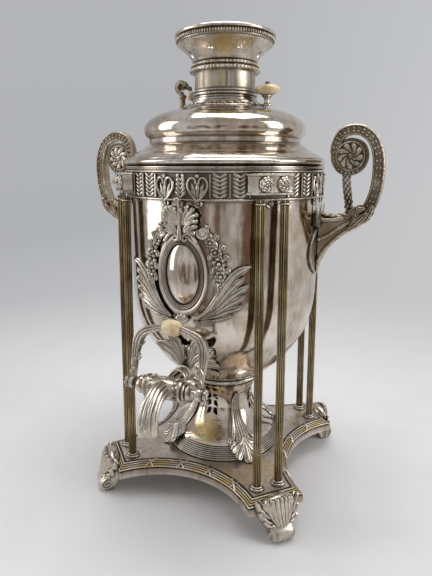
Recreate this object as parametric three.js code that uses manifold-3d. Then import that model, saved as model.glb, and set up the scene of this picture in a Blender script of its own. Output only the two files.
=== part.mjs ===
// Samovar: a plated urn on a pierced pedestal, held by four pairs of columns on a footed plate,
// with a tap, two scroll handles, a lift-off lid and a lift-off teapot stand over the fire tube.
// Millimetres, +Z up, the tap toward -Y.
import * as THREE from 'three';
import { mergeVertices } from 'three/addons/utils/BufferGeometryUtils.js';
import Module from 'manifold-3d';

const wasm = await Module();
wasm.setup();

// Values that every piece shares
const gap = 0.3; // left between pieces that touch
const overrun = 6; // how far a cutting solid runs past what it cuts
const roundSides = 24; // facets round the urn
const neckSides = 24; // facets round the pedestal, fire tube and teapot stand
const cornerCount = 4;
const quarterTurn = Math.PI / 2;
const eighthTurn = Math.PI / 4;

// Finishes, as the photograph shows them
const silver = { color: 0xb9b0a6, roughness: 0.26, metalness: 1 };
const castSilver = { color: 0x9d958b, roughness: 0.38, metalness: 1 };
const wornPlate = { color: 0xa99a80, roughness: 0.34, metalness: 1 };
const columnBrass = { color: 0x6d6248, roughness: 0.42, metalness: 1 };
const darkMetal = { color: 0x4a4238, roughness: 0.5, metalness: 1 };
const tinned = { color: 0x8f8a82, roughness: 0.45, metalness: 1 };
const iron = { color: 0x35302c, roughness: 0.7, metalness: 0.8 };
const ivory = { color: 0xe9d9a6, roughness: 0.42, metalness: 0 };

// Base plate: concave sides, cut corners, stepped border, hollow below
const plateCornerMargin = 35; // past the urn's radius
const plateCornerHalf = 32.5;
const plateSideHollow = 35;
const plateHeight = 15.5;
const plateBorderHeight = 5.6;
const plateBorderWidth = 7.2;
const plateBorderSteps = 2;
const plateWall = 2.4;
const plateSideFacets = 6;

// Feet: a scroll under each cut corner, with a shelf that carries the plate and a ribbed fan before it
const footHeight = 26.2;
const footShelfDepth = 12;
const footOverhang = 21;
const footWidth = 24;
const footCornerShare = 0.3;
const footRound = 2;
const fanWidth = 42;
const fanHeight = 24;
const fanDepth = 12;
const fanRound = 3.4;
const footProfileShares = [
  [0, 1], [0, 0.74], [0.16, 0.64], [0.45, 0], [0.82, 0], [0.97, 0.12],
  [1, 0.34], [0.86, 0.72], [0.66, 1],
];
const fanProfileShares = [
  [0, 0], [0, 0.93], [0.5, 1], [1, 0.62], [1, 0.26], [0.82, 0],
];

// Reeded ring and pierced pedestal
const footRingRadius = 72;
const footRingHeight = 14.5;
const reedDepth = 0.8;
const pedestalHeight = 68.6;
const pedestalFootRadius = 62.5;
const pedestalWall = 1.8;
const pedestalSeatWidth = 7;
const footRingShares = [[1, 0], [0.975, 0.5], [0.872, 1]];
const pedestalShares = [
  [1, 0], [0.95, 0.07], [0.72, 0.22], [0.59, 0.38], [0.54, 0.58],
  [0.57, 0.78], [0.7, 1],
];
const piercingLength = 10.5;
const piercingWidth = 4.8;
const piercingSpread = 5.4;
const piercingTilt = 0.6;
const piercingHeightShares = [0.44, 0.58, 0.72];
const topPiercingShare = 0.87;
const topPiercingSpreadShare = 1.1;
const topPiercingTilt = 1.25;

// Acanthus legs laid on the pedestal
const legThickness = 3.2;
const legToeWidth = 26;
const legTopShare = 0.82;
const toeRadius = 4.2;
const toeCount = 3;
const legWidthShares = [[0, 0.8], [0.12, 1], [0.32, 0.7], [0.88, 0.36], [1, 0]];

// Collar between pedestal and urn
const collarHeight = 7.7;
const collarTopRadius = 51;
const collarFootRadius = 45;
const collarBore = 37;

// Urn: a round-bottomed shell with a flanged mouth
const urnRadius = 108;
const urnHeight = 243;
const urnWall = 1.6;
const urnFlangeReach = 3.5;
const urnFlangeHeight = 4;
const urnFloorRadius = 50.5;
const urnProfileShares = [
  [0.468, 0], [0.59, 0.042], [0.73, 0.098], [0.86, 0.187], [0.945, 0.285], [0.985, 0.4],
  [1, 0.6], [1, 1],
];

// Fire tube with its flange and grate
const tubeFootRadius = 30;
const tubeTopRadius = 24;
const tubeWall = 1.6;
const tubeDrop = 9;
const tubeRiseInStand = 14;
const tubeFlangeReach = 6;
const tubeFlangeHeight = 2;
const tubeLedge = 2.4;
const grateThickness = 2.2;
const grateSlots = 5;
const grateSlotWidth = 4;

// Frieze band and corner blocks
const friezeHeight = 28.8;
const friezeThickness = 1.8;
const friezeBead = 1.2;
const friezeBeadHeight = 3;
const friezeDropTurns = [-9, 9, 45];
const dropShares = [[-1, 0.2], [-0.6, -0.8], [0.6, -0.8], [1, 0.2]]; // degrees from the middle of each side
const friezeDropRadius = 5.2;
const blockHeight = 19.5;
const blockDropBelowUrnTop = 7.5;
const blockStandoff = 13.6;
const blockFaceHalf = 19;
const blockRootHalf = 27.5;
const rosetteRadius = 6.9;
const rosetteOffset = 9.4;
const rosetteDepth = 2.6;
const rosettePetals = 6;
const petalNotchShare = 0.78;

// Columns: fluted, leaning in toward the frieze
const columnRadius = 4.6;
const columnFluteDepth = 0.75;
const columnFlutes = 6;
const columnSpread = 12.8;
const columnFootStandoff = 14.6;
const columnHeadStandoff = 8.5;
const columnBaseRadius = 7.9;
const columnBaseHeight = 4.6;

// Cartouche on the urn's front
const cartoucheDrop = 105.5;
const bossHalfWidth = 17.6;
const bossHalfHeight = 31;
const bossRise = 7;
const frameHalfWidth = 26;
const frameHalfHeight = 43;
const reliefDepth = 3;
const garlandWidth = 15;
const garlandStart = 0.12;
const garlandFlowers = 5;
const flowerRadius = 6.2;
const flowerRise = 5;
const crestWidth = 31;
const crestThickness = 3.2;
const crestHeight = 31;
const crestThrow = 6;
const crestHeelShare = 0.5;
const crestBendShare = 0.6;
const crestTipShare = 1.02;
const palmReach = 69;
const palmRise = 56;
const palmDrop = 43;
const palmDepth = 2.4;
const palmShares = [
  [0.33, 0.02], [0.48, 0], [0.72, 0.06], [0.7, 0.2], [0.86, 0.26], [0.83, 0.42], [0.96, 0.52],
  [0.93, 0.68], [1, 0.96], [0.88, 0.8], [0.76, 0.62], [0.6, 0.44], [0.46, 0.28], [0.33, 0.14],
];

// Tap: shank, barrel and spout in one casting, with a plug across it
const tapHeight = 34.6;
const tapStandoff = 41.7;
const shankRadius = 7.2;
const shankFlangeRadius = 11;
const shankFlangeDepth = 6;
const shankRings = 2;
const shankSides = 12;
const shankRingRise = 1.4;
const barrelRadius = 11.3;
const barrelHalf = 20;
const plugSides = 12;
const plugBigRadius = 7.8;
const plugSmallRadius = 6.8;
const plugClearance = 0.35;
const plugPortRadius = 3.4;
const spindleRadius = 3.6;
const ballRadius = 9.2;
const ballHalfShare = 0.62;
const collarRingRadius = 9;
const collarSmallRingShare = 0.9;
const collarWaistShare = 0.75;
const collarRingWidth = 7.5;
const capRadius = 6.8;
const capWidth = 3.4;
const capBoreShare = 0.6;
const spoutThrow = 34.3;
const spoutDrop = 29.6;
const spoutRadius = 8;
const spoutMouthRadius = 11.2;
const spoutMouthHeight = 9;
const spoutBoreRadius = 6.4;
const spoutRunShare = 0.7;
const spoutLiftShare = 0.4;
const spoutBendShare = 0.1;
const spoutSteps = 5;
const spoutRibs = 6;
const spoutRibDepth = 0.9;
const escutcheonHalfWidth = 31;
const escutcheonHalfHeight = 20;
const escutcheonDepth = 2.8;
const escutcheonNotchShare = 0.86;
const tapNutRadius = 11;
const tapNutDepth = 5;

// Stirrup lever of the tap, with its grip
const stirrupHalf = 36;
const stirrupRise = 55.8;
const stirrupLean = 16.5;
const stirrupBarWidth = 5;
const stirrupBarDepth = 4;
const eyeWidth = 5.4;
const eyeRadius = 6.4;
const gripLength = 20;
const gripRadius = 8.2;
const gripShares = [[0.62, -1], [0.94, -0.7], [1, 0], [0.94, 0.7], [0.62, 1]];
const stirrupShares = [
  [1, 0.07], [1, 0.39], [1, 0.69], [0.84, 0.88], [0.5, 0.985], [0.28, 1],
];

// Handles: arm, knot, outer scroll, rosette and stem in one casting, on an escutcheon
const handleRootDrop = 90.2;
const armDepth = 13;
const armRound = 1.8;
const handleStandoff = 66;
const scrollDepth = 10.5;
const scrollWidth = 9.5;
const volutePlaceShare = 0.446;
const voluteRiseShare = 2.912;
const voluteRadius = 15;
const voluteDepth = 9;
const voluteRosetteRadius = 10;
const voluteRosetteRise = 2.2;
const stemWidth = 8;
const stemDepth = 7;
const stemHeadShare = 0.8;
const handlePlateHalfWidth = 21;
const handlePlateHalfHeight = 25;
const handlePlateDepth = 2.4;
const handlePlateShares = [[0, -1], [0.4, -0.6], [0.9, -0.35], [1, 0.15], [0.75, 0.6], [0.35, 1]];
const armShares = [
  [0, -0.42], [0.1, -0.28], [0.28, 0.02], [0.48, 0.5], [0.72, 0.66], [0.83, 0.86], [0.76, 1.08],
  [0.56, 1.16], [0.4, 1.02], [0.24, 0.86], [0.14, 0.98], [0.11, 1.3], [0, 1.3],
];
const armRise = 34;
const scrollPlaceShares = [
  [0.69, 1.03], [0.86, 1.6], [0.93, 2.32], [0.905, 3.06], [0.754, 3.56], [0.52, 3.7],
  [0.3, 3.56], [0.21, 3.15], [0.27, 2.65],
];

// Lid: brim, band, torus dome and stepped seat for the stand
const lidRadius = 113.3;
const lidHeight = 71;
const lidWall = 1.6;
const lidSkirtHeight = 7;
const lidSkirtClearance = 0.6;
const lidBore = 27;
const lidSeatShare = 0.845;
const lidShares = [
  [0.998, 0.09], [0.914, 0.155], [0.826, 0.225], [0.741, 0.31],
  [0.741, 0.39], [0.782, 0.46], [0.785, 0.56], [0.7, 0.7], [0.51, lidSeatShare],
  [0.355, lidSeatShare], [0.318, 1],
];
const lidWallShares = [
  [0.914, 0.155], [0.741, 0.31], [0.741, 0.39], [0.788, 0.5], [0.7, 0.7], [0.55, 0.815],
];

// Knob and steam vent on the lid
const knobPlace = 51.5;
const knobTurn = -Math.PI / 20;
const knobStemHeight = 10.4;
const knobStemRadius = 4.8;
const knobWaistRadius = 2.9;
const knobNeckShare = 0.55;
const knobHeadRadius = 6.2;
const knobGripRadius = 13.4;
const knobGripHeight = 10.5;
const knobGripShares = [[0.8, 0.2], [1, 0.5], [0.85, 0.82], [0.4, 1]];
const knobNutRadius = 2.6;
const knobNutHeight = 2.2;
const knobNutTopShare = 0.7;
const ventPlace = 52;
const ventPostRadius = 4.3;
const ventPostHeight = 17;
const ventPostShares = [[1, 0], [1, 0.2], [0.7, 0.3], [0.7, 0.75], [1, 0.85], [1, 1]];
const ventScrollRadius = 8;
const ventStripWidth = 6.4;
const ventStripThickness = 1.9;
const ventPinRadius = 1.8;
const ventArmShare = 0.7;
const ventScrollEnd = -2.05 * Math.PI;
const beadRadius = 4.6;
const beadPlace = 10;
const beadDrop = 9;

// Teapot stand: ring, neck, ring, pierced cup and rim
const standHeight = 62.4;
const standRimRadius = 54;
const standWall = 1.6;
const standSeatBore = 26.5;
const standShares = [
  [0.66, 0], [0.675, 0.1], [0.61, 0.125], [0.61, 0.37], [0.7, 0.4], [0.7, 0.48], [0.64, 0.53],
  [0.74, 0.68], [0.95, 0.825], [1, 0.88], [0.94, 1],
];
const standWallShares = [
  [0.61, 0.1], [0.61, 0.48], [0.74, 0.68], [0.94, 0.82], [0.94, 1],
];
const heartCount = 4;
const heartHeightShare = 0.68;
const heartRadius = 2.6;
const heartSpread = 4.2;
const heartLobeShares = [[0, 1], [-1, -0.5], [1, -0.5]];

// Reaches from the urn's axis
const plateCornerReach = urnRadius + plateCornerMargin;
const columnFootReach = urnRadius + columnFootStandoff;
const columnHeadReach = urnRadius + columnHeadStandoff;
const blockReach = urnRadius + blockStandoff;
const footReach = plateCornerReach + footOverhang;
const tapReach = urnRadius + tapStandoff;
const handleStart = urnRadius + gap + handlePlateDepth + gap;
const handleSpan = urnRadius + handleStandoff - handleStart;

// Heights, each piece stacked on the one below
const plateBottomZ = footHeight + gap;
const plateTopZ = plateBottomZ + plateHeight;
const footRingZ = plateTopZ + gap;
const pedestalZ = footRingZ + footRingHeight + gap;
const collarZ = pedestalZ + pedestalHeight + gap;
const urnZ = collarZ + collarHeight + gap;
const urnTopZ = urnZ + urnHeight;
const lidZ = urnTopZ + gap;
const standZ = lidZ + lidHeight + gap;
const blockZ = urnTopZ - blockDropBelowUrnTop - blockHeight;
const friezeZ = urnTopZ - urnFlangeHeight - gap - friezeHeight;
const tapZ = urnZ + tapHeight;
const cartoucheZ = urnTopZ - cartoucheDrop;
const handleZ = urnTopZ - handleRootDrop;

// Turns a closed three.js geometry into a solid, facing out whichever way it was wound.
function solid(geometry) {
  const bare = geometry.clone();
  bare.deleteAttribute('normal');
  bare.deleteAttribute('uv');
  const welded = mergeVertices(bare);
  const points = welded.attributes.position;
  const corners = [];
  const a = new THREE.Vector3();
  const b = new THREE.Vector3();
  const c = new THREE.Vector3();
  let volume = 0;
  for (let i = 0; i < welded.index.count; i += 3) {
    const face = [welded.index.getX(i), welded.index.getX(i + 1), welded.index.getX(i + 2)];
    if (new Set(face).size === face.length) {
      a.fromBufferAttribute(points, face[0]);
      b.fromBufferAttribute(points, face[1]);
      c.fromBufferAttribute(points, face[2]);
      volume += a.dot(b.cross(c));
      corners.push(face);
    }
  }
  const outward = corners.map((face) => (volume < 0 ? [face[0], face[2], face[1]] : face));
  return new wasm.Manifold(new wasm.Mesh({
    numProp: 3,
    vertProperties: new Float32Array(points.array),
    triVerts: new Uint32Array(outward.flat()),
  }));
}

// Turns a solid back into a geometry.
function geometryOf(body) {
  const mesh = body.getMesh();
  const geometry = new THREE.BufferGeometry();
  geometry.setAttribute('position', new THREE.BufferAttribute(mesh.vertProperties, mesh.numProp));
  geometry.setIndex(new THREE.BufferAttribute(mesh.triVerts, 1));
  geometry.computeVertexNormals();
  return geometry;
}

// Revolves a closed profile of [radius, height] points about Z.
function revolve(profile, sides = roundSides) {
  const points = [...profile, profile[0]].map(([radius, height]) => new THREE.Vector2(radius, height));
  return solid(new THREE.LatheGeometry(points, sides).rotateX(quarterTurn));
}

// Scales a table of shares to radii and heights above a base.
function scaled(shares, radius, height, base = 0) {
  return shares.map(([across, up]) => [across * radius, base + up * height]);
}

// Moves an open profile sideways by a distance, mitred at its corners; its ends move level.
function offsetProfile(profile, distance) {
  const normals = profile.slice(1).map(([radius, height], i) => {
    const edge = new THREE.Vector2(radius - profile[i][0], height - profile[i][1]).normalize();
    return new THREE.Vector2(edge.y, -edge.x);
  });
  return profile.map(([radius, height], i) => {
    const before = normals[i - 1];
    const after = normals[i];
    if (!before || !after) {
      return [radius + distance / (before ?? after).x, height];
    }
    const mean = before.clone().add(after).normalize();
    const mitre = distance / mean.dot(after);
    return [radius + mean.x * mitre, height + mean.y * mitre];
  });
}

// The radius of a profile at a height.
function radiusOn(profile, height) {
  const above = profile.findIndex((point) => point[1] >= height);
  const [lowRadius, low] = profile[above - 1];
  const [highRadius, high] = profile[above];
  return lowRadius + ((highRadius - lowRadius) * (height - low)) / (high - low);
}

// A revolved layer that lies on a profile, between two distances from it.
function layerOn(profile, inner, outer, sides) {
  return revolve([...offsetProfile(profile, outer), ...offsetProfile(profile, inner).reverse()], sides);
}

function shapeOf(points) {
  return new THREE.Shape(points.map(([x, y]) => new THREE.Vector2(x, y)));
}

// Extrudes an outline up Z from one height to another.
function extrudeUp(shape, fromZ, toZ) {
  const geometry = new THREE.ExtrudeGeometry(shape, { depth: toZ - fromZ, bevelEnabled: false });
  return solid(geometry.translate(0, 0, fromZ));
}

// Extrudes an outline drawn in x and z across Y, centred, with rounded edges.
function extrudeAcross(shape, width, round = 0) {
  const geometry = new THREE.ExtrudeGeometry(shape, {
    depth: width - 2 * round,
    bevelEnabled: round > 0,
    bevelThickness: round,
    bevelSize: round,
    bevelOffset: -round,
    bevelSegments: 1,
  });
  return solid(geometry.translate(0, 0, round - width / 2).rotateX(quarterTurn));
}

// Extrudes an outline drawn in x and z straight out of the urn's front, from the axis outward.
function extrudeForward(shape, reach) {
  const geometry = new THREE.ExtrudeGeometry(shape, { depth: reach, bevelEnabled: false });
  return solid(geometry.rotateX(quarterTurn));
}

// A cylinder or cone along an axis, centred on its middle.
function rod(axis, radiusEnd, radiusStart, length, sides) {
  const geometry = new THREE.CylinderGeometry(radiusEnd, radiusStart, length, sides);
  if (axis === 'x') {
    geometry.rotateZ(-quarterTurn);
  }
  if (axis === 'z') {
    geometry.rotateX(quarterTurn);
  }
  return geometry;
}

function at(geometry, x, y, z) {
  return solid(geometry.translate(x, y, z));
}

function ellipsoid(halfX, halfY, halfZ, around = 10, down = 6) {
  return new THREE.SphereGeometry(1, around, down).scale(halfX, halfY, halfZ);
}

function ellipsePoints(halfWidth, halfHeight, count, fromAngle = 0, toAngle = 2 * Math.PI) {
  return Array.from({ length: count }, (_, i) => {
    const angle = fromAngle + (toAngle - fromAngle) * (i / count);
    return [halfWidth * Math.cos(angle), halfHeight * Math.sin(angle)];
  });
}

function union(bodies) {
  return bodies.reduce((whole, body) => whole.add(body));
}

// Names a piece, gives it a material of its own and puts it in its group.
function addPiece(group, name, body, finish) {
  const mesh = new THREE.Mesh(geometryOf(body), new THREE.MeshStandardMaterial(finish));
  mesh.name = name;
  group.add(mesh);
  return mesh;
}

// Profiles that neighbours share
const footRingProfile = scaled(footRingShares, footRingRadius, footRingHeight, footRingZ);
const pedestalProfile = scaled(pedestalShares, pedestalFootRadius, pedestalHeight, pedestalZ);
const urnProfile = scaled(urnProfileShares, urnRadius, urnHeight, urnZ);

// Base plate

// The plate's outline, moved in by an inset: its sides are arcs and its corners are cut straight.
function plateOutline(inset) {
  const halfChord = (plateCornerReach - plateCornerHalf) * Math.SQRT1_2;
  const sideReach = (plateCornerReach + plateCornerHalf) * Math.SQRT1_2;
  const arcRadius = (halfChord ** 2 + plateSideHollow ** 2) / (2 * plateSideHollow);
  const arcCentre = sideReach - plateSideHollow + arcRadius;
  const radius = arcRadius + inset;
  const corner = (plateCornerReach - inset) * Math.SQRT1_2;
  const spread = corner ** 2 + (corner - arcCentre) ** 2 - radius ** 2;
  const cornerShift = (arcCentre - Math.sqrt(arcCentre ** 2 - 2 * spread)) / 2;
  const halfAngle = Math.asin((corner - cornerShift) / radius);
  const points = [];
  for (let side = 0; side < cornerCount; side += 1) {
    const turn = side * quarterTurn;
    for (let step = 0; step <= plateSideFacets; step += 1) {
      const angle = halfAngle * ((2 * step) / plateSideFacets - 1);
      const across = radius * Math.sin(angle);
      const out = arcCentre - radius * Math.cos(angle);
      points.push([
        across * Math.cos(turn) + out * Math.sin(turn),
        across * Math.sin(turn) - out * Math.cos(turn),
      ]);
    }
  }
  return shapeOf(points);
}

function basePlate() {
  const fasciaTopZ = plateTopZ - plateBorderHeight;
  const layers = [extrudeUp(plateOutline(0), plateBottomZ, fasciaTopZ)];
  for (let step = 1; step <= plateBorderSteps; step += 1) {
    const share = step / plateBorderSteps;
    const outline = plateOutline(plateBorderWidth * share);
    layers.push(extrudeUp(outline, plateBottomZ, fasciaTopZ + plateBorderHeight * share));
  }
  const hollowOutline = plateOutline(plateBorderWidth + plateWall);
  const hollow = extrudeUp(hollowOutline, plateBottomZ - overrun, plateTopZ - plateWall);
  return union(layers).subtract(hollow);
}

// Foot, drawn with x pointing out along the corner's diagonal
function foot() {
  const innerReach = plateCornerReach - footShelfDepth;
  const rollProfile = scaled(footProfileShares, footReach - innerReach, footHeight);
  const roll = extrudeAcross(shapeOf(rollProfile.map(([x, z]) => [x + innerReach, z])), footWidth, footRound);
  const fanStart = plateCornerReach + gap;
  const fanProfile = scaled(fanProfileShares, fanDepth, fanHeight, footHeight - gap);
  const fan = extrudeAcross(shapeOf(fanProfile.map(([x, z]) => [x + fanStart, z])), fanWidth, fanRound);
  return roll.add(fan);
}

// Pedestal with its ring, legs and collar
function footRing() {
  const reeds = [];
  const outer = footRingProfile;
  for (let i = 1; i < outer.length; i += 1) {
    const [radius, height] = outer[i - 1];
    const [nextRadius, nextHeight] = outer[i];
    reeds.push([radius, height]);
    reeds.push([(radius + nextRadius) / 2 - reedDepth, (height + nextHeight) / 2]);
  }
  reeds.push(outer[outer.length - 1]);
  const seatRadius = outer[outer.length - 1][0] - pedestalSeatWidth;
  return revolve([...reeds, [seatRadius, footRingZ + footRingHeight], [seatRadius, footRingZ]], neckSides);
}

// A leaf-shaped hole, pointed at both ends, cut along Y through the front wall.
function leafCut(across, height, length, width, tilt) {
  const outline = shapeOf([[0, -length / 2], [width / 2, 0], [0, length / 2], [-width / 2, 0]]);
  const geometry = new THREE.ExtrudeGeometry(outline, { depth: pedestalFootRadius, bevelEnabled: false });
  return solid(geometry.rotateX(quarterTurn).rotateY(tilt).translate(across, 0, height));
}

function pedestal() {
  const shell = layerOn(pedestalProfile, -pedestalWall, 0, neckSides);
  const cuts = [];
  for (const side of [-1, 1]) {
    for (const share of piercingHeightShares) {
      const height = pedestalZ + share * pedestalHeight;
      cuts.push(leafCut(side * piercingSpread, height, piercingLength, piercingWidth, side * -piercingTilt));
    }
    const topHeight = pedestalZ + topPiercingShare * pedestalHeight;
    const topTilt = side * topPiercingTilt;
    const topPlace = side * piercingSpread * topPiercingSpreadShare;
    cuts.push(leafCut(topPlace, topHeight, piercingLength, piercingWidth, topTilt));
  }
  const group = union(cuts);
  let body = shell;
  for (let side = 0; side < cornerCount; side += 1) {
    body = body.subtract(group.rotate([0, 0, side * 90]));
  }
  return body;
}

function pedestalLeg() {
  const path = [...footRingProfile, ...pedestalProfile.slice(1)];
  const layer = layerOn(path, gap, gap + legThickness, neckSides);
  const bottom = footRingZ + gap;
  const top = pedestalZ + legTopShare * pedestalHeight;
  const rightSide = legWidthShares.map(([up, width]) => (
    [(width * legToeWidth) / 2, bottom + up * (top - bottom)]
  ));
  const leftSide = rightSide.slice(0, -1).reverse().map(([x, z]) => [-x, z]);
  const outline = shapeOf([...rightSide, ...leftSide]);
  const leaf = extrudeForward(outline, footRingRadius + 2 * overrun).rotate([0, 0, 90]);
  const toes = Array.from({ length: toeCount }, (_, i) => {
    const share = i - (toeCount - 1) / 2;
    const across = share * (legToeWidth / 2 - toeRadius / 2);
    const out = Math.sqrt((footRingRadius + toeRadius + gap * 2) ** 2 - across ** 2);
    return at(ellipsoid(toeRadius, toeRadius, toeRadius, 6, 3), out, across, footRingZ + toeRadius + gap);
  });
  const ringSpace = revolve([
    [0, footRingZ], ...offsetProfile(path, gap), [0, collarZ],
  ], neckSides);
  return union([layer.intersect(leaf), ...toes]).subtract(ringSpace);
}

function collar() {
  const step = collarHeight / 3;
  const middle = (collarTopRadius + collarFootRadius) / 2;
  return revolve([
    [collarBore, collarZ], [collarFootRadius, collarZ], [collarFootRadius, collarZ + step],
    [middle, collarZ + step], [middle, collarZ + 2 * step], [collarTopRadius, collarZ + 2 * step],
    [collarTopRadius, collarZ + collarHeight], [collarBore, collarZ + collarHeight],
  ], neckSides);
}

// Urn with its fire tube
function shankSpace(radius) {
  const length = tapReach;
  return at(rod('y', radius, radius, length, shankSides), 0, -length / 2, tapZ);
}

function urnBody() {
  const flangeBottom = urnTopZ - urnFlangeHeight;
  const outerWall = urnProfile.slice(0, -1);
  const innerWall = offsetProfile(urnProfile, -urnWall).slice(1, -1).reverse();
  const floorHole = tubeFootRadius + gap;
  const profile = [
    [floorHole, urnZ], ...outerWall,
    [urnRadius, flangeBottom], [urnRadius + urnFlangeReach, flangeBottom],
    [urnRadius + urnFlangeReach, urnTopZ], [urnRadius - urnWall, urnTopZ], ...innerWall,
    [urnFloorRadius, urnZ + urnWall], [floorHole, urnZ + urnWall],
  ];
  return revolve(profile).subtract(shankSpace(shankRadius + gap));
}

function fireTube() {
  const bottom = urnZ - tubeDrop;
  const top = standZ + tubeRiseInStand;
  const flangeZ = urnZ + urnWall + gap;
  const taper = (tubeTopRadius - tubeFootRadius) / (top - bottom);
  const radiusAt = (height) => tubeFootRadius + taper * (height - bottom);
  const flangeTop = flangeZ + tubeFlangeHeight;
  return revolve([
    [radiusAt(bottom), bottom], [radiusAt(flangeZ), flangeZ],
    [radiusAt(flangeZ) + tubeFlangeReach, flangeZ], [radiusAt(flangeZ) + tubeFlangeReach, flangeTop],
    [radiusAt(flangeTop), flangeTop], [tubeTopRadius, top], [tubeTopRadius - tubeWall, top],
    [radiusAt(bottom + tubeLedge) - tubeWall, bottom + tubeLedge],
    [radiusAt(bottom) - tubeWall - tubeLedge, bottom + tubeLedge],
    [radiusAt(bottom) - tubeWall - tubeLedge, bottom],
  ], neckSides);
}

function grate() {
  const radius = tubeFootRadius - tubeWall - 1.5 * gap;
  const bottom = urnZ - tubeDrop + tubeLedge + gap;
  const disc = at(rod('z', radius, radius, grateThickness, neckSides), 0, 0, bottom + grateThickness / 2);
  const pitch = (2 * radius) / (grateSlots + 1);
  const slots = Array.from({ length: grateSlots }, (_, i) => {
    const place = (i - (grateSlots - 1) / 2) * pitch;
    const length = 1.5 * Math.sqrt(radius ** 2 - place ** 2);
    const box = new THREE.BoxGeometry(grateSlotWidth, length, grateThickness + 2 * overrun);
    return at(box, place, 0, bottom);
  });
  return disc.subtract(union(slots));
}

// Frieze, blocks and columns
const friezeInner = urnRadius + gap;
const friezeOuter = friezeInner + friezeThickness;

function friezeBand() {
  const beadRadiusOut = friezeOuter + friezeBead;
  const top = friezeZ + friezeHeight;
  const band = revolve([
    [friezeInner, friezeZ], [beadRadiusOut, friezeZ], [beadRadiusOut, friezeZ + friezeBeadHeight],
    [friezeOuter, friezeZ + friezeBeadHeight], [friezeOuter, top - friezeBeadHeight],
    [beadRadiusOut, top - friezeBeadHeight], [beadRadiusOut, top], [friezeInner, top],
  ]);
  const dropOuter = beadRadiusOut - gap;
  const skirtBottom = friezeZ - friezeDropRadius;
  const skirtTop = friezeZ + friezeBeadHeight / 2;
  const skirt = revolve([
    [friezeInner, skirtBottom], [dropOuter, skirtBottom], [dropOuter, skirtTop], [friezeInner, skirtTop],
  ]);
  const dropShape = shapeOf(dropShares.map(
    ([x, z]) => [x * friezeDropRadius, friezeZ + z * friezeDropRadius],
  ));
  const drop = extrudeForward(dropShape, beadRadiusOut + overrun);
  const sideDrops = union(friezeDropTurns.map((turn) => drop.rotate([0, 0, turn])));
  const drops = Array.from({ length: cornerCount }, (_, side) => sideDrops.rotate([0, 0, side * 90]));
  return band.add(skirt.intersect(union(drops)));
}

function rosette(depth, radius) {
  const points = ellipsePoints(1, 1, rosettePetals * 2).map(([x, y], i) => {
    const reach = i % 2 ? radius : radius * petalNotchShare;
    return [x * reach, y * reach];
  });
  const geometry = new THREE.ExtrudeGeometry(shapeOf(points), {
    depth: depth / 2,
    bevelThickness: depth / 2,
    bevelSize: depth / 2,
    bevelOffset: -depth / 2,
    bevelSegments: 1,
  });
  return geometry.rotateY(quarterTurn);
}

function cornerBlock() {
  const rootReach = urnRadius;
  const outline = shapeOf([
    [blockReach, -blockFaceHalf], [blockReach, blockFaceHalf], [rootReach, blockRootHalf],
    [rootReach - overrun, blockRootHalf], [rootReach - overrun, -blockRootHalf], [rootReach, -blockRootHalf],
  ]);
  const seat = friezeOuter + friezeBead + gap;
  const bandSpace = revolve([
    [0, blockZ - overrun], [seat, blockZ - overrun], [seat, blockZ + blockHeight + overrun],
    [0, blockZ + blockHeight + overrun],
  ]);
  const rosetteStart = blockReach - rosetteDepth / 2;
  const rosettes = [-1, 1].map((side) => (
    at(rosette(rosetteDepth, rosetteRadius), rosetteStart, side * rosetteOffset, blockZ + blockHeight / 2)
  ));
  return extrudeUp(outline, blockZ, blockZ + blockHeight).subtract(bandSpace).add(union(rosettes));
}

// A column standing on its own foot at the origin; its group places and tilts it.
const columnLength = blockZ - gap - plateTopZ - gap;
const columnLean = Math.atan2(columnFootReach - columnHeadReach, columnLength);

function column() {
  const flutes = ellipsePoints(1, 1, columnFlutes * 2).map(([x, y], i) => {
    const reach = i % 2 ? columnRadius : columnRadius - columnFluteDepth;
    return [x * reach, y * reach];
  });
  const headSink = columnRadius * Math.sin(columnLean);
  const footLift = columnBaseRadius * Math.sin(columnLean);
  const shaft = extrudeUp(shapeOf(flutes), footLift, columnLength - headSink);
  const neck = (columnBaseRadius + columnRadius) / 2;
  const foot = revolve([
    [0, footLift], [columnBaseRadius, footLift], [columnBaseRadius, columnBaseHeight / 2],
    [neck, columnBaseHeight], [0, columnBaseHeight],
  ], 8);
  return shaft.add(foot);
}

// Cartouche, garland and palms, drawn in x and z on the urn's front
function onFront(points) {
  return shapeOf(points.map(([x, z]) => [x, cartoucheZ + z]));
}

function frontLayer(depth) {
  return layerOn(urnProfile, gap, gap + depth, roundSides);
}

function urnSpace() {
  const outside = offsetProfile(urnProfile, gap);
  return revolve([[0, urnZ], ...outside, [0, urnTopZ]]);
}

function cartoucheBoss() {
  const boss = ellipsoid(bossHalfWidth, bossRise + gap, bossHalfHeight, 12, 10);
  return at(boss, 0, -urnRadius, cartoucheZ).subtract(urnSpace());
}

function cartoucheFrame() {
  const outline = onFront(ellipsePoints(frameHalfWidth, frameHalfHeight, 20));
  outline.holes.push(onFront(ellipsePoints(bossHalfWidth + 2 * gap, bossHalfHeight + 2 * gap, 20)));
  return frontLayer(reliefDepth).intersect(extrudeForward(outline, urnRadius + overrun));
}

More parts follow.
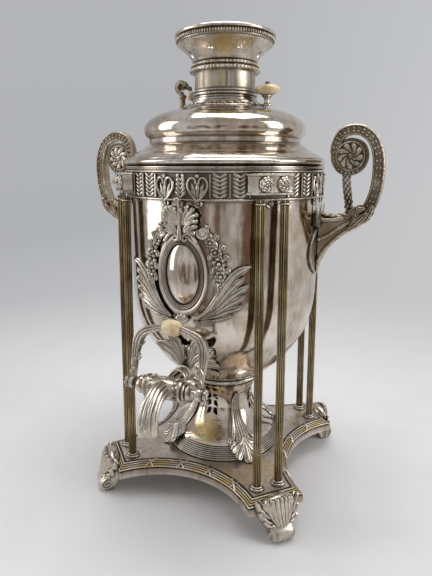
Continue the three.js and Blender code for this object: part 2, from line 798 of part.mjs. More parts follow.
function cartoucheGarland() {
  const start = garlandStart * Math.PI;
  const inner = ellipsePoints(
    frameHalfWidth + 2 * gap, frameHalfHeight + 2 * gap, 12, start, Math.PI - start,
  );
  const outer = ellipsePoints(
    frameHalfWidth + garlandWidth, frameHalfHeight + garlandWidth, 12, Math.PI - start, start,
  );
  const belowFrieze = friezeZ - friezeDropRadius - gap - cartoucheZ;
  const capped = [...inner, ...outer].map(([x, z]) => [x, Math.min(z, belowFrieze)]);
  const swag = frontLayer(reliefDepth).intersect(extrudeForward(onFront(capped), urnRadius + overrun));
  const flowers = Array.from({ length: garlandFlowers }, (_, i) => {
    const angle = start + (Math.PI - 2 * start) * ((i + 0.5) / garlandFlowers);
    const x = (frameHalfWidth + garlandWidth / 2) * Math.cos(angle);
    const z = Math.min((frameHalfHeight + garlandWidth / 2) * Math.sin(angle), belowFrieze - flowerRadius);
    const flower = ellipsoid(flowerRadius, flowerRise, flowerRadius, 6, 4);
    return at(flower, x, -Math.sqrt(urnRadius ** 2 - x ** 2) - gap, cartoucheZ + z);
  });
  const frameSpace = extrudeForward(
    onFront(ellipsePoints(frameHalfWidth + gap, frameHalfHeight + gap, 20)), urnRadius + overrun * 2,
  );
  const crestFoot = frameHalfHeight + gap;
  const crestStart = urnRadius + gap;
  const crestProfile = [
    [-crestStart, crestFoot], [-crestStart - reliefDepth, crestFoot],
    [-crestStart - crestThickness - friezeThickness, crestFoot + crestHeight * crestBendShare],
    [-crestStart - crestThrow - crestThickness, crestFoot + crestHeight],
    [-crestStart - crestThrow, crestFoot + crestHeight * crestTipShare],
    [-crestStart - friezeThickness - friezeBead - gap * 2, crestFoot + crestHeight * crestBendShare],
    [-crestStart, crestFoot + crestHeight * crestHeelShare],
  ].map(([y, z]) => [y, cartoucheZ + z]);
  const crestShape = shapeOf(crestProfile);
  const crestSide = new THREE.ExtrudeGeometry(crestShape, { depth: crestWidth, bevelEnabled: false });
  const crest = solid(crestSide.rotateX(quarterTurn).rotateZ(quarterTurn).translate(-crestWidth / 2, 0, 0));
  return union([swag, ...flowers]).subtract(frameSpace).add(crest).subtract(urnSpace());
}

function palm(side) {
  const points = palmShares.map(([x, z]) => [side * x * palmReach, z * palmRise - palmDrop]);
  return frontLayer(palmDepth).intersect(extrudeForward(onFront(points), urnRadius + overrun));
}

// Tap
const tapNutReach = radiusOn(offsetProfile(urnProfile, -urnWall - gap), tapZ - tapNutRadius);

function tapEscutcheon() {
  const lobes = ellipsePoints(1, 1, 16).map(([x, z], i) => {
    const reach = i % 2 ? 1 : escutcheonNotchShare;
    return [x * reach * escutcheonHalfWidth, tapZ + z * reach * escutcheonHalfHeight];
  });
  const plate = frontLayer(escutcheonDepth).intersect(extrudeForward(shapeOf(lobes), urnRadius + overrun));
  return plate.subtract(shankSpace(shankRadius + gap));
}

function spoutPath() {
  return new THREE.CubicBezierCurve3(
    new THREE.Vector3(0, -tapReach, tapZ),
    new THREE.Vector3(0, -tapReach - spoutThrow * spoutRunShare, tapZ + spoutRadius * spoutLiftShare),
    new THREE.Vector3(0, -tapReach - spoutThrow, tapZ - spoutDrop * spoutBendShare),
    new THREE.Vector3(0, -tapReach - spoutThrow, tapZ - spoutDrop),
  );
}

function tapBody() {
  const shankLength = tapReach - tapNutReach + tapNutDepth + shankRingRise;
  const shankRod = rod('y', shankRadius, shankRadius, shankLength, shankSides);
  const shank = at(shankRod, 0, -tapReach + shankLength / 2, tapZ);
  const flangeFace = offsetProfile(urnProfile, 2 * gap + escutcheonDepth);
  const flangeReach = radiusOn(flangeFace, tapZ + shankFlangeRadius);
  const flangeRod = rod('y', shankFlangeRadius, shankRadius, shankFlangeDepth, shankSides);
  const flange = at(flangeRod, 0, -flangeReach - shankFlangeDepth / 2, tapZ);
  const ringPitch = (tapReach - barrelRadius - flangeReach - shankFlangeDepth) / (shankRings + 1);
  const ringRadius = shankRadius + shankRingRise;
  const rings = Array.from({ length: shankRings }, (_, i) => {
    const place = flangeReach + shankFlangeDepth + (i + 1) * ringPitch;
    return at(rod('y', ringRadius, ringRadius, ringPitch / 2, shankSides), 0, -place, tapZ);
  });
  const barrel = at(rod('x', barrelRadius, barrelRadius, 2 * barrelHalf, plugSides), 0, -tapReach, tapZ);
  const ribbed = ellipsePoints(1, 1, spoutRibs * 2).map(([x, y], i) => {
    const reach = i % 2 ? spoutRadius : spoutRadius - spoutRibDepth;
    return [x * reach, y * reach];
  });
  const tube = solid(new THREE.ExtrudeGeometry(shapeOf(ribbed), {
    steps: spoutSteps, extrudePath: spoutPath(), bevelEnabled: false,
  }));
  const mouthBottom = tapZ - spoutDrop;
  const mouth = at(
    rod('z', spoutRadius, spoutMouthRadius, spoutMouthHeight, 12),
    0, -tapReach - spoutThrow, mouthBottom + spoutMouthHeight / 2,
  );
  const bore = solid(new THREE.ExtrudeGeometry(shapeOf(ellipsePoints(spoutBoreRadius, spoutBoreRadius, 8)), {
    steps: spoutSteps, extrudePath: spoutPath(), bevelEnabled: false,
  }));
  const mouthBore = at(
    rod('z', spoutBoreRadius, spoutMouthRadius - 2 * spoutRibDepth, spoutMouthHeight, 12),
    0, -tapReach - spoutThrow, mouthBottom + spoutMouthHeight / 2 - gap,
  );
  const plugBore = at(
    rod('x', plugSmallRadius + plugClearance, plugBigRadius + plugClearance, 2 * barrelHalf + gap, plugSides),
    0, -tapReach, tapZ,
  );
  const whole = union([shank, flange, ...rings, barrel, tube, mouth]);
  return whole.subtract(union([shankSpace(plugPortRadius), bore, mouthBore, plugBore]));
}

function tapNut() {
  const nut = rod('y', tapNutRadius, tapNutRadius, tapNutDepth, 6);
  return at(nut, 0, -tapNutReach + tapNutDepth / 2, tapZ).subtract(shankSpace(shankRadius + gap));
}

// Plug, collar and caps of the tap, on the plug's axis
function tapPlug() {
  const taper = at(rod('x', plugSmallRadius, plugBigRadius, 2 * barrelHalf, plugSides), 0, 0, 0);
  const ballHalf = ballRadius * ballHalfShare;
  const ball = at(ellipsoid(ballHalf, ballRadius, ballRadius, 10, 6), -barrelHalf - gap - ballHalf, 0, 0);
  const ballSeat = solid(new THREE.BoxGeometry(2 * barrelHalf, 4 * ballRadius, 4 * ballRadius));
  const spindleHalf = stirrupHalf + eyeWidth / 2 + gap + capWidth * capBoreShare;
  const spindle = at(rod('x', spindleRadius, spindleRadius, 2 * spindleHalf, 12), 0, 0, 0);
  const port = solid(rod('z', plugPortRadius, plugPortRadius, 4 * plugBigRadius, 10));
  return union([ball.subtract(ballSeat), taper, spindle]).subtract(port);
}

function plugCollar() {
  const start = barrelHalf + gap;
  const third = collarRingWidth / 3;
  const bore = spindleRadius + gap;
  const waist = collarRingRadius * collarWaistShare;
  const profile = [
    [bore, start], [collarRingRadius, start], [collarRingRadius, start + third], [waist, start + third],
    [waist, start + 2 * third], [collarRingRadius * collarSmallRingShare, start + 2 * third],
    [collarRingRadius * collarSmallRingShare, start + 3 * third], [bore, start + 3 * third],
  ];
  return revolve(profile, 10).rotate([0, 90, 0]);
}

function plugCap(side) {
  const start = stirrupHalf + eyeWidth / 2 + gap;
  const cap = rosette(capWidth, capRadius).translate(start + capWidth / 2, 0, 0);
  const boreHalf = start + capWidth * capBoreShare + gap;
  const bore = rod('x', spindleRadius + gap, spindleRadius + gap, 2 * boreHalf, 12);
  const bored = solid(cap).subtract(solid(bore));
  return side > 0 ? bored : bored.rotate([0, 0, 180]);
}

function stirrup() {
  const lean = stirrupLean / stirrupRise;
  const rightSide = stirrupShares.map(([across, up]) => [across * stirrupHalf, up * stirrupRise]);
  const leftSide = rightSide.map(([x, z]) => [-x, z]).reverse();
  const curve = new THREE.CatmullRomCurve3([...rightSide, ...leftSide].map(([x, z]) => (
    new THREE.Vector3(x, z * lean, z)
  )));
  const section = shapeOf(ellipsePoints(stirrupBarWidth / 2, stirrupBarDepth / 2, 6));
  const bar = solid(new THREE.ExtrudeGeometry(section, {
    steps: 14, extrudePath: curve, bevelEnabled: false,
  }));
  const eyes = [-1, 1].map((side) => (
    at(rod('x', eyeRadius, eyeRadius, eyeWidth, 10), side * stirrupHalf, 0, 0)
  ));
  const bore = solid(rod('x', spindleRadius + gap, spindleRadius + gap, 2 * (stirrupHalf + overrun), 12));
  return union([bar, ...eyes]).subtract(bore);
}

function stirrupGrip() {
  const lean = stirrupLean / stirrupRise;
  const half = gripLength / 2 - gap;
  const bore = stirrupBarWidth / 2 + gap;
  const profile = gripShares.map(([radius, place]) => [radius * gripRadius, place * half]);
  const body = revolve([[bore, -half], ...profile, [bore, half]], 12);
  return body.rotate([0, 90, 0]).translate([0, stirrupRise * lean, stirrupRise]);
}

// Handle, drawn with x pointing out from the urn's side
function handlePlate() {
  const rightSide = handlePlateShares.map(([x, z]) => (
    [x * handlePlateHalfWidth, handleZ + z * handlePlateHalfHeight]
  ));
  const leftSide = rightSide.slice(1).map(([x, z]) => [-x, z]).reverse();
  const outline = shapeOf([...rightSide, ...leftSide]);
  const plate = frontLayer(handlePlateDepth).intersect(extrudeForward(outline, urnRadius + overrun));
  return plate.rotate([0, 0, 90]);
}

function handle() {
  const place = ([x, z]) => [handleStart + x * handleSpan, handleZ + z * armRise];
  const arm = extrudeAcross(shapeOf(armShares.map(place)), armDepth, armRound);
  const curve = new THREE.CatmullRomCurve3(scrollPlaceShares.map((share) => {
    const [x, z] = place(share);
    return new THREE.Vector3(x, 0, z);
  }));
  const section = shapeOf(ellipsePoints(scrollDepth / 2, scrollWidth / 2, 6));
  const scroll = solid(new THREE.ExtrudeGeometry(section, {
    steps: 16, extrudePath: curve, bevelEnabled: false,
  }));
  const [voluteX, voluteZ] = place([volutePlaceShare, voluteRiseShare]);
  const volute = at(rod('y', voluteRadius, voluteRadius, voluteDepth, 16), voluteX, 0, voluteZ);
  const rosetteLength = voluteDepth + 2 * voluteRosetteRise;
  const bossRod = rod('y', voluteRosetteRadius, voluteRosetteRadius, rosetteLength, 12);
  const boss = at(bossRod, voluteX, 0, voluteZ);
  const stemBottom = handleZ + armRise;
  const stemHeight = voluteZ - voluteRadius * stemHeadShare - stemBottom;
  const stemBox = new THREE.BoxGeometry(stemWidth, stemDepth, stemHeight);
  const stem = at(stemBox, voluteX + stemWidth / 4, 0, stemBottom + stemHeight / 2);
  const plateSpace = revolve([[0, urnZ], [handleStart, urnZ], [handleStart, urnTopZ], [0, urnTopZ]]);
  return union([arm, scroll, volute, boss, stem]).subtract(plateSpace);
}

// Lid with its knob and vent
function lid() {
  const outer = scaled(lidShares, lidRadius, lidHeight, lidZ);
  const inner = offsetProfile(scaled(lidWallShares, lidRadius, lidHeight, lidZ), -lidWall).reverse();
  const skirtRadius = urnRadius - urnWall - lidSkirtClearance;
  const skirtZ = lidZ - lidSkirtHeight;
  return revolve([
    ...inner, [skirtRadius - lidWall, skirtZ], [skirtRadius, skirtZ], [skirtRadius, lidZ],
    [lidRadius - lidWall, lidZ], ...outer, [lidBore, lidZ + lidHeight],
    [lidBore, lidZ + lidSeatShare * lidHeight - lidWall],
  ]);
}

function knobStem() {
  const neck = knobStemHeight * knobNeckShare;
  return revolve([
    [0, 0], [knobStemRadius, 0], [knobWaistRadius, neck / 2], [knobWaistRadius, neck],
    [knobHeadRadius, knobStemHeight], [0, knobStemHeight],
  ], 10);
}

function knobGrip() {
  const profile = scaled(knobGripShares, knobGripRadius, knobGripHeight);
  return revolve([[0, 0], [knobHeadRadius, 0], ...profile, [0, knobGripHeight]], 16);
}

function knobNut() {
  return solid(rod('z', knobNutRadius * knobNutTopShare, knobNutRadius, knobNutHeight, 8));
}

function ventPost() {
  const profile = scaled(ventPostShares, ventPostRadius, ventPostHeight);
  return revolve([[0, 0], ...profile, [0, ventPostHeight]], 10);
}

function ventScroll() {
  const centre = ventScrollRadius;
  const turn = new THREE.CatmullRomCurve3(
    Array.from({ length: 9 }, (_, i) => {
      const angle = -quarterTurn + (i / 8) * (ventScrollEnd + quarterTurn);
      const reach = ventScrollRadius - ventStripThickness / 2 - (i / 8) * ventStripThickness;
      return new THREE.Vector3(reach * Math.cos(angle), 0, centre + reach * Math.sin(angle));
    }),
  );
  const section = shapeOf([[-0.5, -0.5], [0.5, -0.5], [0.5, 0.5], [-0.5, 0.5]].map(
    ([x, y]) => [x * ventStripWidth, y * ventStripThickness],
  ));
  const strip = solid(new THREE.ExtrudeGeometry(section, {
    steps: 12, extrudePath: turn, bevelEnabled: false,
  }));
  const endX = (ventScrollRadius - 1.5 * ventStripThickness) * Math.cos(ventScrollEnd);
  const armZ = ventScrollRadius - ventStripThickness * ventArmShare;
  const armLength = beadPlace - endX + ventPinRadius;
  const armBox = new THREE.BoxGeometry(armLength, ventStripWidth / 2, ventStripThickness);
  const arm = at(armBox, (beadPlace + endX) / 2, 0, armZ);
  const pin = at(rod('z', ventPinRadius, ventPinRadius, beadDrop, 8), beadPlace, 0, armZ - beadDrop / 2);
  return union([strip, arm, pin]);
}

function ventBead() {
  const centreZ = ventScrollRadius - ventStripThickness * ventArmShare - beadDrop;
  const bead = at(ellipsoid(beadRadius, beadRadius, beadRadius, 8, 6), beadPlace, 0, centreZ);
  const holeRadius = ventPinRadius + gap;
  const hole = rod('z', holeRadius, holeRadius, 2 * beadRadius, 8);
  return bead.subtract(at(hole, beadPlace, 0, centreZ + beadRadius - gap));
}

// Teapot stand
function teapotStand() {
  const outer = scaled(standShares, standRimRadius, standHeight, standZ);
  const wall = scaled(standWallShares, standRimRadius, standHeight, standZ);
  const inner = offsetProfile(wall, -standWall).reverse();
  const seatTop = standZ + 2 * standWall;
  const body = revolve([[standSeatBore, standZ], ...outer, ...inner, [standSeatBore, seatTop]], neckSides);
  const heartZ = standZ + heartHeightShare * standHeight;
  const lobes = heartLobeShares.map(([x, z]) => {
    const lobe = rod('y', heartRadius, heartRadius, standRimRadius, 6);
    return at(lobe, x * heartSpread, -standRimRadius / 2, heartZ + z * heartSpread);
  });
  const heart = union(lobes);
  let pierced = body;
  for (let i = 0; i < heartCount; i += 1) {
    pierced = pierced.subtract(heart.rotate([0, 0, (i * 360) / heartCount]));
  }
  return pierced;
}

// Assembly: the urn's axis is set back so that the whole object is centred over the origin.
const spoutReach = tapReach + spoutThrow + spoutMouthRadius;
const backReach = footReach * Math.SQRT1_2 + footWidth * footCornerShare;
const samovar = new THREE.Group();
samovar.position.y = (spoutReach - backReach) / 2;

addPiece(samovar, 'base_plate', basePlate(), wornPlate);
addPiece(samovar, 'foot_ring', footRing(), castSilver);
addPiece(samovar, 'pedestal', pedestal(), silver);
addPiece(samovar, 'collar_ring', collar(), castSilver);
addPiece(samovar, 'urn_body', urnBody(), silver);
addPiece(samovar, 'fire_tube', fireTube(), tinned);
addPiece(samovar, 'fire_grate', grate(), iron);
addPiece(samovar, 'frieze_band', friezeBand(), castSilver);

const cornerNames = ['back_right', 'back_left', 'front_left', 'front_right'];
cornerNames.forEach((name, i) => {
  const corner = new THREE.Group();
  corner.rotation.z = eighthTurn + i * quarterTurn;
  samovar.add(corner);
  addPiece(corner, `foot_${name}`, foot(), castSilver);
  addPiece(corner, `corner_block_${name}`, cornerBlock(), castSilver);
  addPiece(corner, `pedestal_leg_${name}`, pedestalLeg(), castSilver);
  for (const [side, label] of [[-1, 'a'], [1, 'b']]) {
    const stand = new THREE.Group();
    stand.position.set(columnFootReach, side * columnSpread, plateTopZ + gap);
    stand.rotation.y = -columnLean;
    corner.add(stand);
    addPiece(stand, `column_${name}_${label}`, column(), columnBrass);
  }
});

addPiece(samovar, 'cartouche_boss', cartoucheBoss(), silver);
addPiece(samovar, 'cartouche_frame', cartoucheFrame(), castSilver);
addPiece(samovar, 'cartouche_garland', cartoucheGarland(), castSilver);
addPiece(samovar, 'palm_left', palm(-1), castSilver);
addPiece(samovar, 'palm_right', palm(1), castSilver);

addPiece(samovar, 'tap_escutcheon', tapEscutcheon(), castSilver);
addPiece(samovar, 'tap_body', tapBody(), silver);
addPiece(samovar, 'tap_nut', tapNut(), darkMetal);
const tapKey = new THREE.Group();
tapKey.position.set(0, -tapReach, tapZ);
samovar.add(tapKey);
addPiece(tapKey, 'tap_plug', tapPlug(), silver);
addPiece(tapKey, 'plug_collar', plugCollar(), castSilver);
addPiece(tapKey, 'plug_cap_left', plugCap(-1), castSilver);
addPiece(tapKey, 'plug_cap_right', plugCap(1), castSilver);
addPiece(tapKey, 'tap_stirrup', stirrup(), castSilver);
addPiece(tapKey, 'tap_grip', stirrupGrip(), ivory);

for (const [name, turn] of [['right', 0], ['left', 2 * quarterTurn]]) {
  const side = new THREE.Group();
  side.rotation.z = turn;
  samovar.add(side);
  addPiece(side, `handle_plate_${name}`, handlePlate(), castSilver);
  addPiece(side, `handle_${name}`, handle(), castSilver);
}

addPiece(samovar, 'lid', lid(), silver);
const fittingZ = lidZ + lidSeatShare * lidHeight + gap;
const knobArm = new THREE.Group();
knobArm.rotation.z = knobTurn;
samovar.add(knobArm);
const knob = new THREE.Group();
knob.position.set(knobPlace, 0, fittingZ);
knobArm.add(knob);
addPiece(knob, 'knob_stem', knobStem(), castSilver);
addPiece(knob, 'knob_grip', knobGrip(), ivory).position.z = knobStemHeight + gap;
const knobNutZ = knobStemHeight + knobGripHeight + knobNutHeight / 2 + 2 * gap;
addPiece(knob, 'knob_nut', knobNut(), darkMetal).position.z = knobNutZ;
const vent = new THREE.Group();
vent.position.set(-ventPlace, 0, fittingZ);
samovar.add(vent);
addPiece(vent, 'vent_post', ventPost(), darkMetal);
const ventKey = new THREE.Group();
ventKey.position.z = ventPostHeight + gap;
vent.add(ventKey);
addPiece(ventKey, 'vent_scroll', ventScroll(), darkMetal);
addPiece(ventKey, 'vent_bead', ventBead(), ivory);

addPiece(samovar, 'teapot_stand', teapotStand(), castSilver);

export default samovar;
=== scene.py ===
"""Samovar: a plated urn on a pierced pedestal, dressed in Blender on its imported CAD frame.

Every size is in millimetres about the urn's axis; a finished piece is moved on to that axis.
"""
import math
from contextlib import contextmanager

import bmesh
import bpy
from mathutils import Matrix, Vector


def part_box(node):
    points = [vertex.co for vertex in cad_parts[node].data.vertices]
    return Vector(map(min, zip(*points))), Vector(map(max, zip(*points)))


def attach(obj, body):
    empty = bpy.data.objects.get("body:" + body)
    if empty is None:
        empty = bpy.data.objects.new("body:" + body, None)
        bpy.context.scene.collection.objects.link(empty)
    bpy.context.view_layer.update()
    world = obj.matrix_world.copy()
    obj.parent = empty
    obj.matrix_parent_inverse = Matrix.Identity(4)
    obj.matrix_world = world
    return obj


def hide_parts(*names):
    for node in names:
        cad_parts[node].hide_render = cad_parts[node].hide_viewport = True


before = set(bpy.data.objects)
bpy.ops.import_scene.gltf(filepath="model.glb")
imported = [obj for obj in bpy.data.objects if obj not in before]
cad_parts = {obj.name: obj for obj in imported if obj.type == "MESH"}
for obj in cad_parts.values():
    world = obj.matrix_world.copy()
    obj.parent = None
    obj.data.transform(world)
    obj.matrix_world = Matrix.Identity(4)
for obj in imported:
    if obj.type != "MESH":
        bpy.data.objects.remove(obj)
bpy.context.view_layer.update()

bl_info = {
    "name": "Samovar",
    "version": (1, 0, 0),
    "blender": (4, 5, 0),
    "location": "View3D > Sidebar > Samovar",
    "description": "Builds a plated samovar with columns, piece by piece, and its studio",
    "category": "Add Mesh",
}

MM = 0.001
TURN = math.tau
URN_LOW, URN_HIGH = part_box("urn_body")
AXIS = Vector(((URN_LOW.x + URN_HIGH.x) / 2, (URN_LOW.y + URN_HIGH.y) / 2, 0))
CORNERS = {"front_right": 45, "back_right": 135, "back_left": 225, "front_left": 315}


# ---- Colours, selection and edit mode

def linear(hex_colour):
    """The linear values of an sRGB hex colour."""
    parts = [int(hex_colour[i:i + 2], 16) / 255 for i in (1, 3, 5)]
    return tuple(c / 12.92 if c <= 0.04045 else ((c + 0.055) / 1.055) ** 2.4 for c in parts)


def deselect():
    if bpy.context.mode != 'OBJECT':
        bpy.ops.object.mode_set(mode='OBJECT')
    bpy.ops.object.select_all(action='DESELECT')


def choose(*pieces):
    deselect()
    for piece in pieces:
        piece.select_set(True)
    bpy.context.view_layer.objects.active = pieces[0]


@contextmanager
def editing(piece):
    """Edit mode on one piece, with all of it selected."""
    choose(piece)
    bpy.ops.object.mode_set(mode='EDIT')
    bpy.ops.mesh.select_all(action='SELECT')
    yield bmesh.from_edit_mesh(piece.data)
    bpy.ops.object.mode_set(mode='OBJECT')


def modified(piece, kind, **settings):
    """Adds one modifier and applies it."""
    choose(piece)
    modifier = piece.modifiers.new(kind.title(), kind)
    for key, value in settings.items():
        setattr(modifier, key, value)
    bpy.ops.object.modifier_apply(modifier=modifier.name)
    return piece


def outward(piece):
    """Merges doubles and turns the faces outward."""
    with editing(piece):
        bpy.ops.mesh.remove_doubles(threshold=0.00001)
        bpy.ops.mesh.normals_make_consistent(inside=False)
    return piece


def softened(piece, degrees=38):
    choose(piece)
    bpy.ops.object.shade_smooth_by_angle(angle=math.radians(degrees))
    return piece


# ---- Curves through points

def flow(points, steps=5):
    """A smooth run through the points."""
    points = [tuple(point) for point in points]
    ends = [tuple(2 * a - b for a, b in zip(points[0], points[1]))]
    ends.append(tuple(2 * a - b for a, b in zip(points[-1], points[-2])))
    guide = [ends[0], *points, ends[1]]
    run = []
    for p0, p1, p2, p3 in zip(guide, guide[1:], guide[2:], guide[3:]):
        for step in range(steps):
            t = step / steps
            run.append(tuple(
                0.5 * (2 * b + (c - a) * t + (2 * a - 5 * b + 4 * c - d) * t ** 2
                       + (3 * b - a - 3 * c + d) * t ** 3)
                for a, b, c, d in zip(p0, p1, p2, p3)))
    return run + [points[-1]]


def arc(centre, radius, start, end, steps=8):
    """Points of an arc in a plane, its angles in degrees."""
    angles = [math.radians(start + (end - start) * i / steps) for i in range(steps + 1)]
    return [(centre[0] + radius * math.cos(a), centre[1] + radius * math.sin(a)) for a in angles]


def reeds(start, end, count, steps=5):
    """Half-round reeds side by side along a line, swelling to its left."""
    along = (Vector(end) - Vector(start)) / count
    out = Vector((-along.y, along.x))
    run = []
    for reed in range(count):
        middle = Vector(start) + along * (reed + 0.5)
        for step in range(1 if reed else 0, steps + 1):
            a = math.pi * step / steps
            run.append(tuple(middle - along * 0.5 * math.cos(a) + out * 0.5 * math.sin(a)))
    return run


# Sunk values darken the finish: painted shade in the sunk corners of a profile.
def valleys(profile):
    """How sharply each point of a counterclockwise profile is sunk between its neighbours."""
    values = [0.0] * len(profile)
    for i in range(1, len(profile) - 1):
        before = Vector(profile[i]) - Vector(profile[i - 1])
        after = Vector(profile[i + 1]) - Vector(profile[i])
        bend = math.atan2(before.x * after.y - before.y * after.x, before.dot(after))
        sunk = min(1.0, max(0.0, -0.8 * bend - 0.2))
        for j, share in ((i - 2, 0.5), (i - 1, 0.9), (i, 1), (i + 1, 0.9), (i + 2, 0.5)):
            if 0 <= j < len(profile) and (Vector(profile[j]) - Vector(profile[i])).length < 1.3:
                values[j] = max(values[j], sunk * share)
    return values


def eased(profile):
    """The profile with points added near each sunk corner, so that its shade stays narrow."""
    sunk = valleys(profile)
    run = [profile[0]]
    for i in range(1, len(profile)):
        start, end = Vector(profile[i - 1]), Vector(profile[i])
        gap = (end - start).length
        near = [reach for reach in (0.5, 1.4) if reach < gap / 2 - 0.1]
        if sunk[i - 1] > 0:
            run += [tuple(start.lerp(end, reach / gap)) for reach in near]
        if sunk[i] > 0:
            run += [tuple(end.lerp(start, reach / gap)) for reach in near[::-1]]
        run.append(profile[i])
    return run


def ellipse(half_width, half_height, count=16, turn=0):
    angles = [turn + TURN * i / count for i in range(count)]
    return [(half_width * math.cos(a), half_height * math.sin(a)) for a in angles]


def value_at(table, place):
    """The second value of a table of pairs, between its rows."""
    if place <= table[0][0]:
        return table[0][1]
    for (a, low), (b, high) in zip(table, table[1:]):
        if place <= b:
            return low + (high - low) * (place - a) / (b - a)
    return table[-1][1]


# ---- Shaping

def wire(name, points, closed=False):
    """A chain of edges drawn as a curve and made a mesh."""
    curve = bpy.data.curves.new(name, 'CURVE')
    curve.dimensions = '3D'
    line = curve.splines.new('POLY')
    line.points.add(len(points) - 1)
    for knot, point in zip(line.points, points):
        knot.co = (*(Vector(point) * MM), 1)
    line.use_cyclic_u = closed
    piece = bpy.data.objects.new(name, curve)
    bpy.context.scene.collection.objects.link(piece)
    choose(piece)
    bpy.ops.object.convert(target='MESH')
    return bpy.context.object


def turned(name, profile, base=(0, 0, 0), axis=(0, 0, 1), steps=128, closed=False):
    """Spins a profile of radius and height about an axis, as on a lathe."""
    base, axis, profile = Vector(base), Vector(axis), eased(profile)
    side = Vector((1, 0, 0)) if abs(axis.x) < 0.5 else Vector((0, 0, 1))
    piece = wire(name, [base + side * r + axis * h for r, h in profile], closed)
    # The profile's sunk corners are marked for painted shade.
    hollow = piece.data.attributes.new("hollow", 'FLOAT', 'POINT')
    for entry, value in zip(hollow.data, valleys(profile)):
        entry.value = value
    with editing(piece):
        bpy.ops.mesh.spin(steps=steps, angle=TURN, center=base * MM, axis=axis)
    return softened(outward(piece))


def loft(name, rings, closed=False, hollows=None):
    """Extrudes a loop of edges from ring to ring; open ends are capped."""
    deselect()
    fill = 'NOTHING' if closed else 'NGON'
    bpy.ops.mesh.primitive_circle_add(vertices=len(rings[0]), radius=1, fill_type=fill)
    piece = bpy.context.object
    piece.name = name
    hollows = hollows or [0.0] * len(rings)
    with editing(piece) as cage:
        place = cage.verts.layers.int.new("place")
        hollow = cage.verts.layers.float.new("hollow")
        for vertex in cage.verts:
            vertex[place] = vertex.index
            vertex[hollow] = hollows[0]
            vertex.co = Vector(rings[0][vertex.index]) * MM
        for ring, value in zip(rings[1:], hollows[1:]):
            bpy.ops.mesh.extrude_region_move()
            cage = bmesh.from_edit_mesh(piece.data)
            place = cage.verts.layers.int["place"]
            hollow = cage.verts.layers.float["hollow"]
            for vertex in cage.verts:
                if vertex.select:
                    vertex.co = Vector(ring[vertex[place]]) * MM
                    vertex[hollow] = value
        if closed:
            for edge in cage.edges:
                edge.select_set(edge.is_boundary)
            bmesh.update_edit_mesh(piece.data)
            bpy.ops.mesh.bridge_edge_loops()
    piece.data.attributes.remove(piece.data.attributes["place"])
    return softened(outward(piece))


def swept(name, path, section, side=(0, 1, 0), sizes=None, closed=False):
    """A bar of one section along a path that lies in the plane across side."""
    side = Vector(side).normalized()
    points = [Vector(point) for point in path]
    last = len(points) - 1
    rings = []
    for i, point in enumerate(points):
        before = points[i - 1] if i or closed else point
        after = points[(i + 1) % (last + 1)] if i < last or closed else point
        out = (after - before).normalized().cross(side)
        size = sizes[i] if sizes else 1
        rings.append([point + (out * a + side * b) * size for a, b in section])
    return loft(name, rings, closed)


def tapering(start, loss, count):
    """Sizes that fall evenly from start, by loss in all."""
    return [start - loss * i / (count - 1) for i in range(count)]


def marked(piece, amount, mark="hollow"):
    """Stores how dark (hollow) or how worn (bare) each point is, for the finish to read."""
    layer = piece.data.attributes.get(mark)
    if layer is None:
        layer = piece.data.attributes.new(mark, 'FLOAT', 'POINT')
    for vertex in piece.data.vertices:
        layer.data[vertex.index].value = max(layer.data[vertex.index].value, amount(vertex.co / MM))
    return piece


def patches(*spots):
    """How much of each point lies in round rubbed spots of x, y, z and radius."""
    def amount(point):
        return min(1.0, max(0.0, *(1.5 - 1.3 * (point - Vector(spot[:3])).length / spot[3]
                                   for spot in spots)))
    return amount


def leaf(name, spine, widths, ribs=3, lobes=0, notch=0.35, base=1, cup=1.2, flute=0.9, sweep=0.5,
         curl=0, across=18, along=40, thickness=1.2):
    """A chased leaf on a flat spine of x and z: a grid fluted, lobed, curled and thickened."""
    spine = flow(spine, 8)
    deselect()
    bpy.ops.mesh.primitive_grid_add(x_subdivisions=across, y_subdivisions=along, size=2)
    piece = bpy.context.object
    piece.name = name
    hollow = piece.data.attributes.new("hollow", 'FLOAT', 'POINT')
    for vertex in piece.data.vertices:
        v, u = vertex.co.x, (vertex.co.y + 1) / 2
        i = min(int(u * (len(spine) - 1)), len(spine) - 2)
        start, end = Vector(spine[i]), Vector(spine[i + 1])
        along_leaf = (end - start).normalized()
        right = Vector((along_leaf.y, -along_leaf.x))
        half = value_at(widths, u) / 2
        scallop = abs(math.cos(math.pi * lobes * u)) ** 0.7 if lobes else 1
        reach = half * v * (1 - notch * (1 - scallop) * v * v)
        place = start.lerp(end, u * (len(spine) - 1) - i)
        place = place + right * reach + along_leaf * sweep * half * v * v
        ridge = abs(math.cos(math.pi * ribs * v / 2))
        fade = min(1, half / 2.5)
        depth = base + cup * (1 - v * v) * fade + flute * ridge ** 0.6 * fade
        depth += 0.5 * flute * scallop * abs(v) * fade + curl * max(0, u - 0.55) ** 2 * 4.9
        vertex.co = Vector((place.x, -depth, place.y)) * MM
        # Painted shade in the valleys between the flutes.
        hollow.data[vertex.index].value = fade * max(0, 1 - ridge * 2.2)
    modified(piece, 'SOLIDIFY', thickness=thickness * MM, offset=-1)
    return softened(piece, 60)


def fan(name, heel, lean, spread, count, length, width, **shape):
    """Blades that spread from one heel of x and z; lean and spread are in degrees from +Z."""
    blades = []
    for blade in range(count):
        place = blade / (count - 1) - 0.5
        angle = math.radians(lean + spread * place)
        bow = angle + 0.5 * place
        reach = length * (1 - 0.8 * place * place)
        middle = (heel[0] + 0.55 * reach * math.sin(angle),
                  heel[1] + 0.55 * reach * math.cos(angle))
        tip = (middle[0] + 0.45 * reach * math.sin(bow), middle[1] + 0.45 * reach * math.cos(bow))
        widths = [(0, width * 0.35), (0.55, width), (0.85, width * 0.8), (1, width * 0.25)]
        blades.append(leaf(name, [heel, middle, tip], widths, ribs=1, across=10, along=18, **shape))
    return blades


